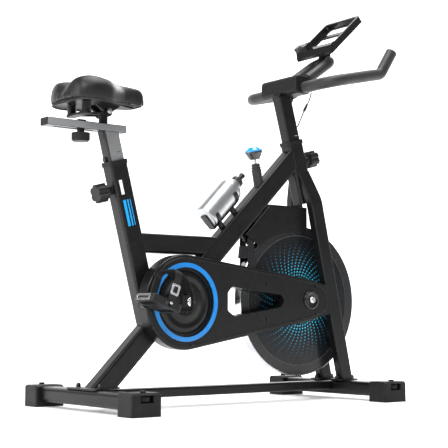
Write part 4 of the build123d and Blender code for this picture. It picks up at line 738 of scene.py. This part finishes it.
# ---- Pedals: reflective end plates, buckles and strap rivets ------------------------------------
def rounded_plate(name, place, w, h, t, r, material, body, hole=None):
    """A flat plate with round corners, and an optional round-ended slot."""
    bm = bmesh.new()
    outline = []
    for cx, cy, a0 in ((w / 2 - r, h / 2 - r, 0), (-w / 2 + r, h / 2 - r, 90), (-w / 2 + r, -h / 2 + r, 180),
                       (w / 2 - r, -h / 2 + r, 270)):
        for k in range(7):
            a = math.radians(a0 + 15 * k)
            outline.append((cx + r * math.cos(a), cy + r * math.sin(a)))
    if hole is None:
        bottom = [bm.verts.new(place @ Vector((x, y, 0))) for x, y in outline]
        top = [bm.verts.new(place @ Vector((x, y, t))) for x, y in outline]
        bm.faces.new(list(reversed(bottom)))
        bm.faces.new(top)
        n = len(outline)
        for i in range(n):
            bm.faces.new((bottom[i], bottom[(i + 1) % n], top[(i + 1) % n], top[i]))
    else:
        inner = [(x * hole[0] / w, y * hole[1] / h) for x, y in outline]
        rings = []
        for line2, z in ((outline, 0), (outline, t), (inner, t), (inner, 0)):
            rings.append([bm.verts.new(place @ Vector((x, y, z))) for x, y in line2])
        n = len(outline)
        for a, b in zip(rings, rings[1:] + rings[:1]):
            for i in range(n):
                bm.faces.new((a[i], a[(i + 1) % n], b[(i + 1) % n], b[i]))
    piece = from_bmesh(name, bm, material, body, smooth=False)
    modify(piece, "BEVEL", width=min(0.0006, t * 0.3), segments=2, limit_method="ANGLE")
    return piece


for side, hand in ((-1, "right"), (1, "left")):
    px = CRANK.x + side * CRANK_LEN * math.cos(CRANK_DROP)
    pz = CRANK.z + side * CRANK_LEN * math.sin(CRANK_DROP)
    fwd = Vector((math.cos(PEDAL_PITCH), 0, -math.sin(PEDAL_PITCH)))
    up = Vector((math.sin(PEDAL_PITCH), 0, math.cos(PEDAL_PITCH)))
    body = f"pedal_{hand}_body"
    for end, tag in ((-1, "rear"), (1, "front")):
        at = Vector((px, side * PEDAL_Y, pz)) + fwd * (end * 0.0500)
        place = basis(at, fwd * end, up)
        rounded_plate(f"pedal_plate_{tag}_{hand}", place, 0.064, 0.017, 0.0014, 0.003, chrome, body,
                      hole=(0.050, 0.007))
    strap = Vector((px, side * PEDAL_Y, pz)) + fwd * 0.008
    buckle = strap + up * 0.040 + Vector((0, side * 0.0491, 0))
    rounded_plate(f"strap_buckle_{hand}", basis(buckle, (0, side, 0), fwd), 0.030, 0.026, 0.0018, 0.004,
                  steel, body, hole=(0.018, 0.014))
    for k in (-1, 1):
        rivet = strap + up * 0.003 + Vector((0, k * 0.0491, 0))
        turned(f"strap_rivet_{hand}_{'out' if k * side > 0 else 'in'}",
               [(0.0042, 0), (0.0042, 0.0008), (0.0032, 0.0016), (0.0012, 0.002)],
               basis(rivet, (0, k, 0), (1, 0, 0)), steel, body, 20)

# ---- Crank: cap and bolt at the spindle end of each arm ------------------------------------------
for side, hand in ((-1, "right"), (1, "left")):
    at = Vector((CRANK.x, side * 0.0905, CRANK.z))
    turned(f"crank_cap_{hand}", [(0.0125, 0.0), (0.0125, 0.0030), (0.0112, 0.0042), (0.0062, 0.0045),
                                 (0.0056, 0.0036), (0.0028, 0.0034)],
           basis(at, (0, side, 0), (0, 0, 1)), chrome, "crank", 36)

# ---- Boss round the axle's near end --------------------------------------------------------------
turned("axle_boss", [(0.029, 0.0), (0.029, 0.003), (0.027, 0.0052), (0.0215, 0.0056), (0.0205, 0.0040),
                     (0.0155, 0.0036)],
       basis((WHEEL.x, -0.0701, WHEEL.z), (0, -1, 0), (0, 0, 1)), gloss, "frame", 60)
turned("axle_cap_nut", [(0.0103, 0.0), (0.0103, 0.004), (0.0092, 0.0062), (0.0066, 0.0084), (0.0030, 0.0096)],
       basis((WHEEL.x, -0.0742, WHEEL.z), (0, -1, 0), (0, 0, 1)), chrome, "frame", 36)

# ---- Belt cover: bead inside the edge, and steps in the dished middle ---------------------------
heading = math.atan2(WHEEL.z - CRANK.z, WHEEL.x - CRANK.x)
reach = math.hypot(WHEEL.z - CRANK.z, WHEEL.x - CRANK.x)
fan = math.acos((0.123 - 0.052) / reach)
bead = [(0.321, 0.355), (0.377, 0.3385), (0.394, 0.271), (0.321, 0.2505)]
for k in range(31):
    a = heading - fan - (2 * math.pi - 2 * fan) * k / 30
    bead.append((CRANK.x + 0.123 * math.cos(a), CRANK.z + 0.123 * math.sin(a)))
tube("cover_bead", [(x, COVER_FACE_Y, z) for x, z in bead], 0.0021, cover_plastic, "frame", closed=True)
turned("cover_steps", [(0.0300, 0.0001), (0.0300, 0.0030), (0.0335, 0.0038), (0.0500, 0.0038),
                       (0.0520, 0.0020), (0.0660, 0.0020), (0.0680, 0.0036), (0.0790, 0.0036),
                       (0.0812, 0.0016), (0.0885, 0.0016), (0.0885, 0.0001)],
       basis((CRANK.x, -0.0630, CRANK.z), (0, -1, 0), (0, 0, 1)), cover_plastic, "frame", 96, ring=True)

# ---- Console: dark display window and a small panel of bars -------------------------------------
TILT = math.radians(42.6)
HOLD_U = Vector((math.cos(TILT), 0, math.sin(TILT)))
HOLD_N = Vector((-math.sin(TILT), 0, math.cos(TILT)))
HOLD_O = Vector((0.408, 0, 1.071))


def lcd():
    """A grey-green panel behind dark glass, with plain segment bars."""
    m = Mat("display_panel", (0.10, 0.12, 0.10), 0.12, coat=0.8, coat_rough=0.03)
    x, y, z = m.xyz(tuple(HOLD_O))[0:3]
    u = m.math("ADD", m.math("MULTIPLY", x, math.cos(TILT)), m.math("MULTIPLY", z, math.sin(TILT)))
    col = m.math("LESS_THAN", m.math("FRACT", m.math("DIVIDE", y, 0.0060)), 0.55)
    row = m.math("LESS_THAN", m.math("FRACT", m.math("DIVIDE", u, 0.0042)), 0.5)
    m.color(m.mix(m.math("MULTIPLY", col, row), (0.13, 0.15, 0.13), (0.02, 0.024, 0.02)))
    m.rough(m.span(m.noise(30.0), 0.3, 0.7, 0.08, 0.16))
    m.bump(m.noise(300.0), 0.02, 0.0002)
    return m.done()


screen_at = HOLD_O + HOLD_U * 0.0275 + HOLD_N * 0.0430 + Vector((0, 0.051, 0))
rounded_plate("display_window", basis(screen_at, HOLD_N, HOLD_U), 0.038, 0.0125, 0.0008, 0.002,
              lcd(), "console")
# rubber pads that the tablet rests on
for k, y in enumerate((-0.045, 0.0, 0.045)):
    at = HOLD_O + HOLD_U * 0.0565 + HOLD_N * 0.0041 + Vector((0, y, 0))
    rounded_plate(f"tablet_pad_{k}", basis(at, HOLD_N, HOLD_U), 0.026, 0.007, 0.0015, 0.003,
                  boot_m, "console")

# ---- Saddle clamp bolts ----------------------------------------------------------------------------
def hex_bolt(name, at, axis, material, body, r=0.006, h=0.004, up=(0, 1, 0)):
    """A hex head on a round washer."""
    place = basis(at, axis, up)
    bm = bmesh.new()

    def stack(sides, levels):
        """A solid with a regular outline, from (radius, height) pairs."""
        rings = []
        for radius, z in levels:
            ring = []
            for i in range(sides):
                a = 2 * math.pi * i / sides
                ring.append(bm.verts.new(place @ Vector((radius * math.cos(a), radius * math.sin(a), z))))
            rings.append(ring)
        for low, high in zip(rings, rings[1:]):
            for i in range(sides):
                j = (i + 1) % sides
                bm.faces.new((low[i], low[j], high[j], high[i]))
        bm.faces.new(rings[-1])
        bm.faces.new(list(reversed(rings[0])))

    stack(24, ((r * 1.28, 0.0), (r * 1.28, 0.0009)))
    stack(6, ((r, 0.0009), (r, h), (r * 0.84, h + 0.0006)))
    return from_bmesh(name, bm, material, body, smooth=False)


for side, hand in ((-1, "right"), (1, "left")):
    hex_bolt(f"saddle_bolt_{hand}", (-0.378, side * 0.0331, 0.808), (0, side, 0), steel, "saddle",
             up=(0, 0, 1))

# ---- Floor and light -------------------------------------------------------------------------------
floor_m = Mat("floor", (0.90, 0.90, 0.90), 0.75)
mottle = floor_m.span(floor_m.noise(2.0), 0.3, 0.7)
floor_m.color(floor_m.mix(mottle, (0.90, 0.90, 0.90), (0.915, 0.915, 0.915)))
floor_m.rough(floor_m.span(floor_m.noise(3.0), 0.3, 0.7, 0.7, 0.8))
floor_m.bump(floor_m.noise(40.0), 0.02, 0.001)
away = floor_m.node("ShaderNodeVectorMath", operation="LENGTH")
floor_m.link(floor_m.position(), away.inputs[0])
floor_m.set("Emission Color", (1.0, 1.0, 1.0, 1.0))
glow = floor_m.span(away.outputs["Value"], 0.55, 1.9, 0.16, 1.0)
floor_m.link(glow, floor_m.bsdf.inputs["Emission Strength"])
floor_m.done()
bm = bmesh.new()
turn = math.radians(VIEW_TURN)
fwd = Vector((math.sin(turn), math.cos(turn), 0))
right = Vector((fwd.y, -fwd.x, 0))
rows = [(-9.0, 0.0), (4.0, 0.0), (5.0, 0.06), (5.9, 0.35), (6.6, 1.0), (7.0, 2.2), (7.0, 9.0)]
verts = []
for d, h in rows:
    verts.append([bm.verts.new(fwd * d + right * s + Vector((0, 0, h - 0.0005))) for s in (-12, 12)])
for a, b in zip(verts, verts[1:]):
    bm.faces.new((a[0], a[1], b[1], b[0]))
mesh = bpy.data.meshes.new("floor")
bm.to_mesh(mesh)
bm.free()
for poly in mesh.polygons:
    poly.use_smooth = True
floor = bpy.data.objects.new("floor", mesh)
mesh.materials.append(floor_m.m)
scene.collection.objects.link(floor)

world = bpy.data.worlds.new("studio")
scene.world = world
world.use_nodes = True
world.node_tree.nodes["Background"].inputs["Color"].default_value = (1.0, 1.0, 1.0, 1.0)
world.node_tree.nodes["Background"].inputs["Strength"].default_value = 0.30


def softbox(name, at, to, size, watts):
    """A rectangular area light aimed at a point."""
    data = bpy.data.lights.new(name, "AREA")
    data.shape = "RECTANGLE"
    data.size, data.size_y = size
    data.energy = watts
    lamp = bpy.data.objects.new(name, data)
    lamp.location = at
    lamp.rotation_euler = (Vector(to) - Vector(at)).to_track_quat("-Z", "Y").to_euler()
    scene.collection.objects.link(lamp)


softbox("key", (-2.6, -1.6, 2.8), (-0.1, 0, 0.5), (1.6, 1.6), 95)
softbox("side", (-3.0, 0.6, 1.2), (-0.1, 0, 0.6), (1.0, 2.2), 40)
softbox("top", (0.2, -0.2, 3.4), (0.1, 0, 0.4), (2.4, 1.6), 105)
softbox("back", (2.6, 1.6, 2.2), (0.1, 0, 0.5), (1.4, 1.8), 45)

scene.view_settings.view_transform = "Standard"
scene.view_settings.look = "None"
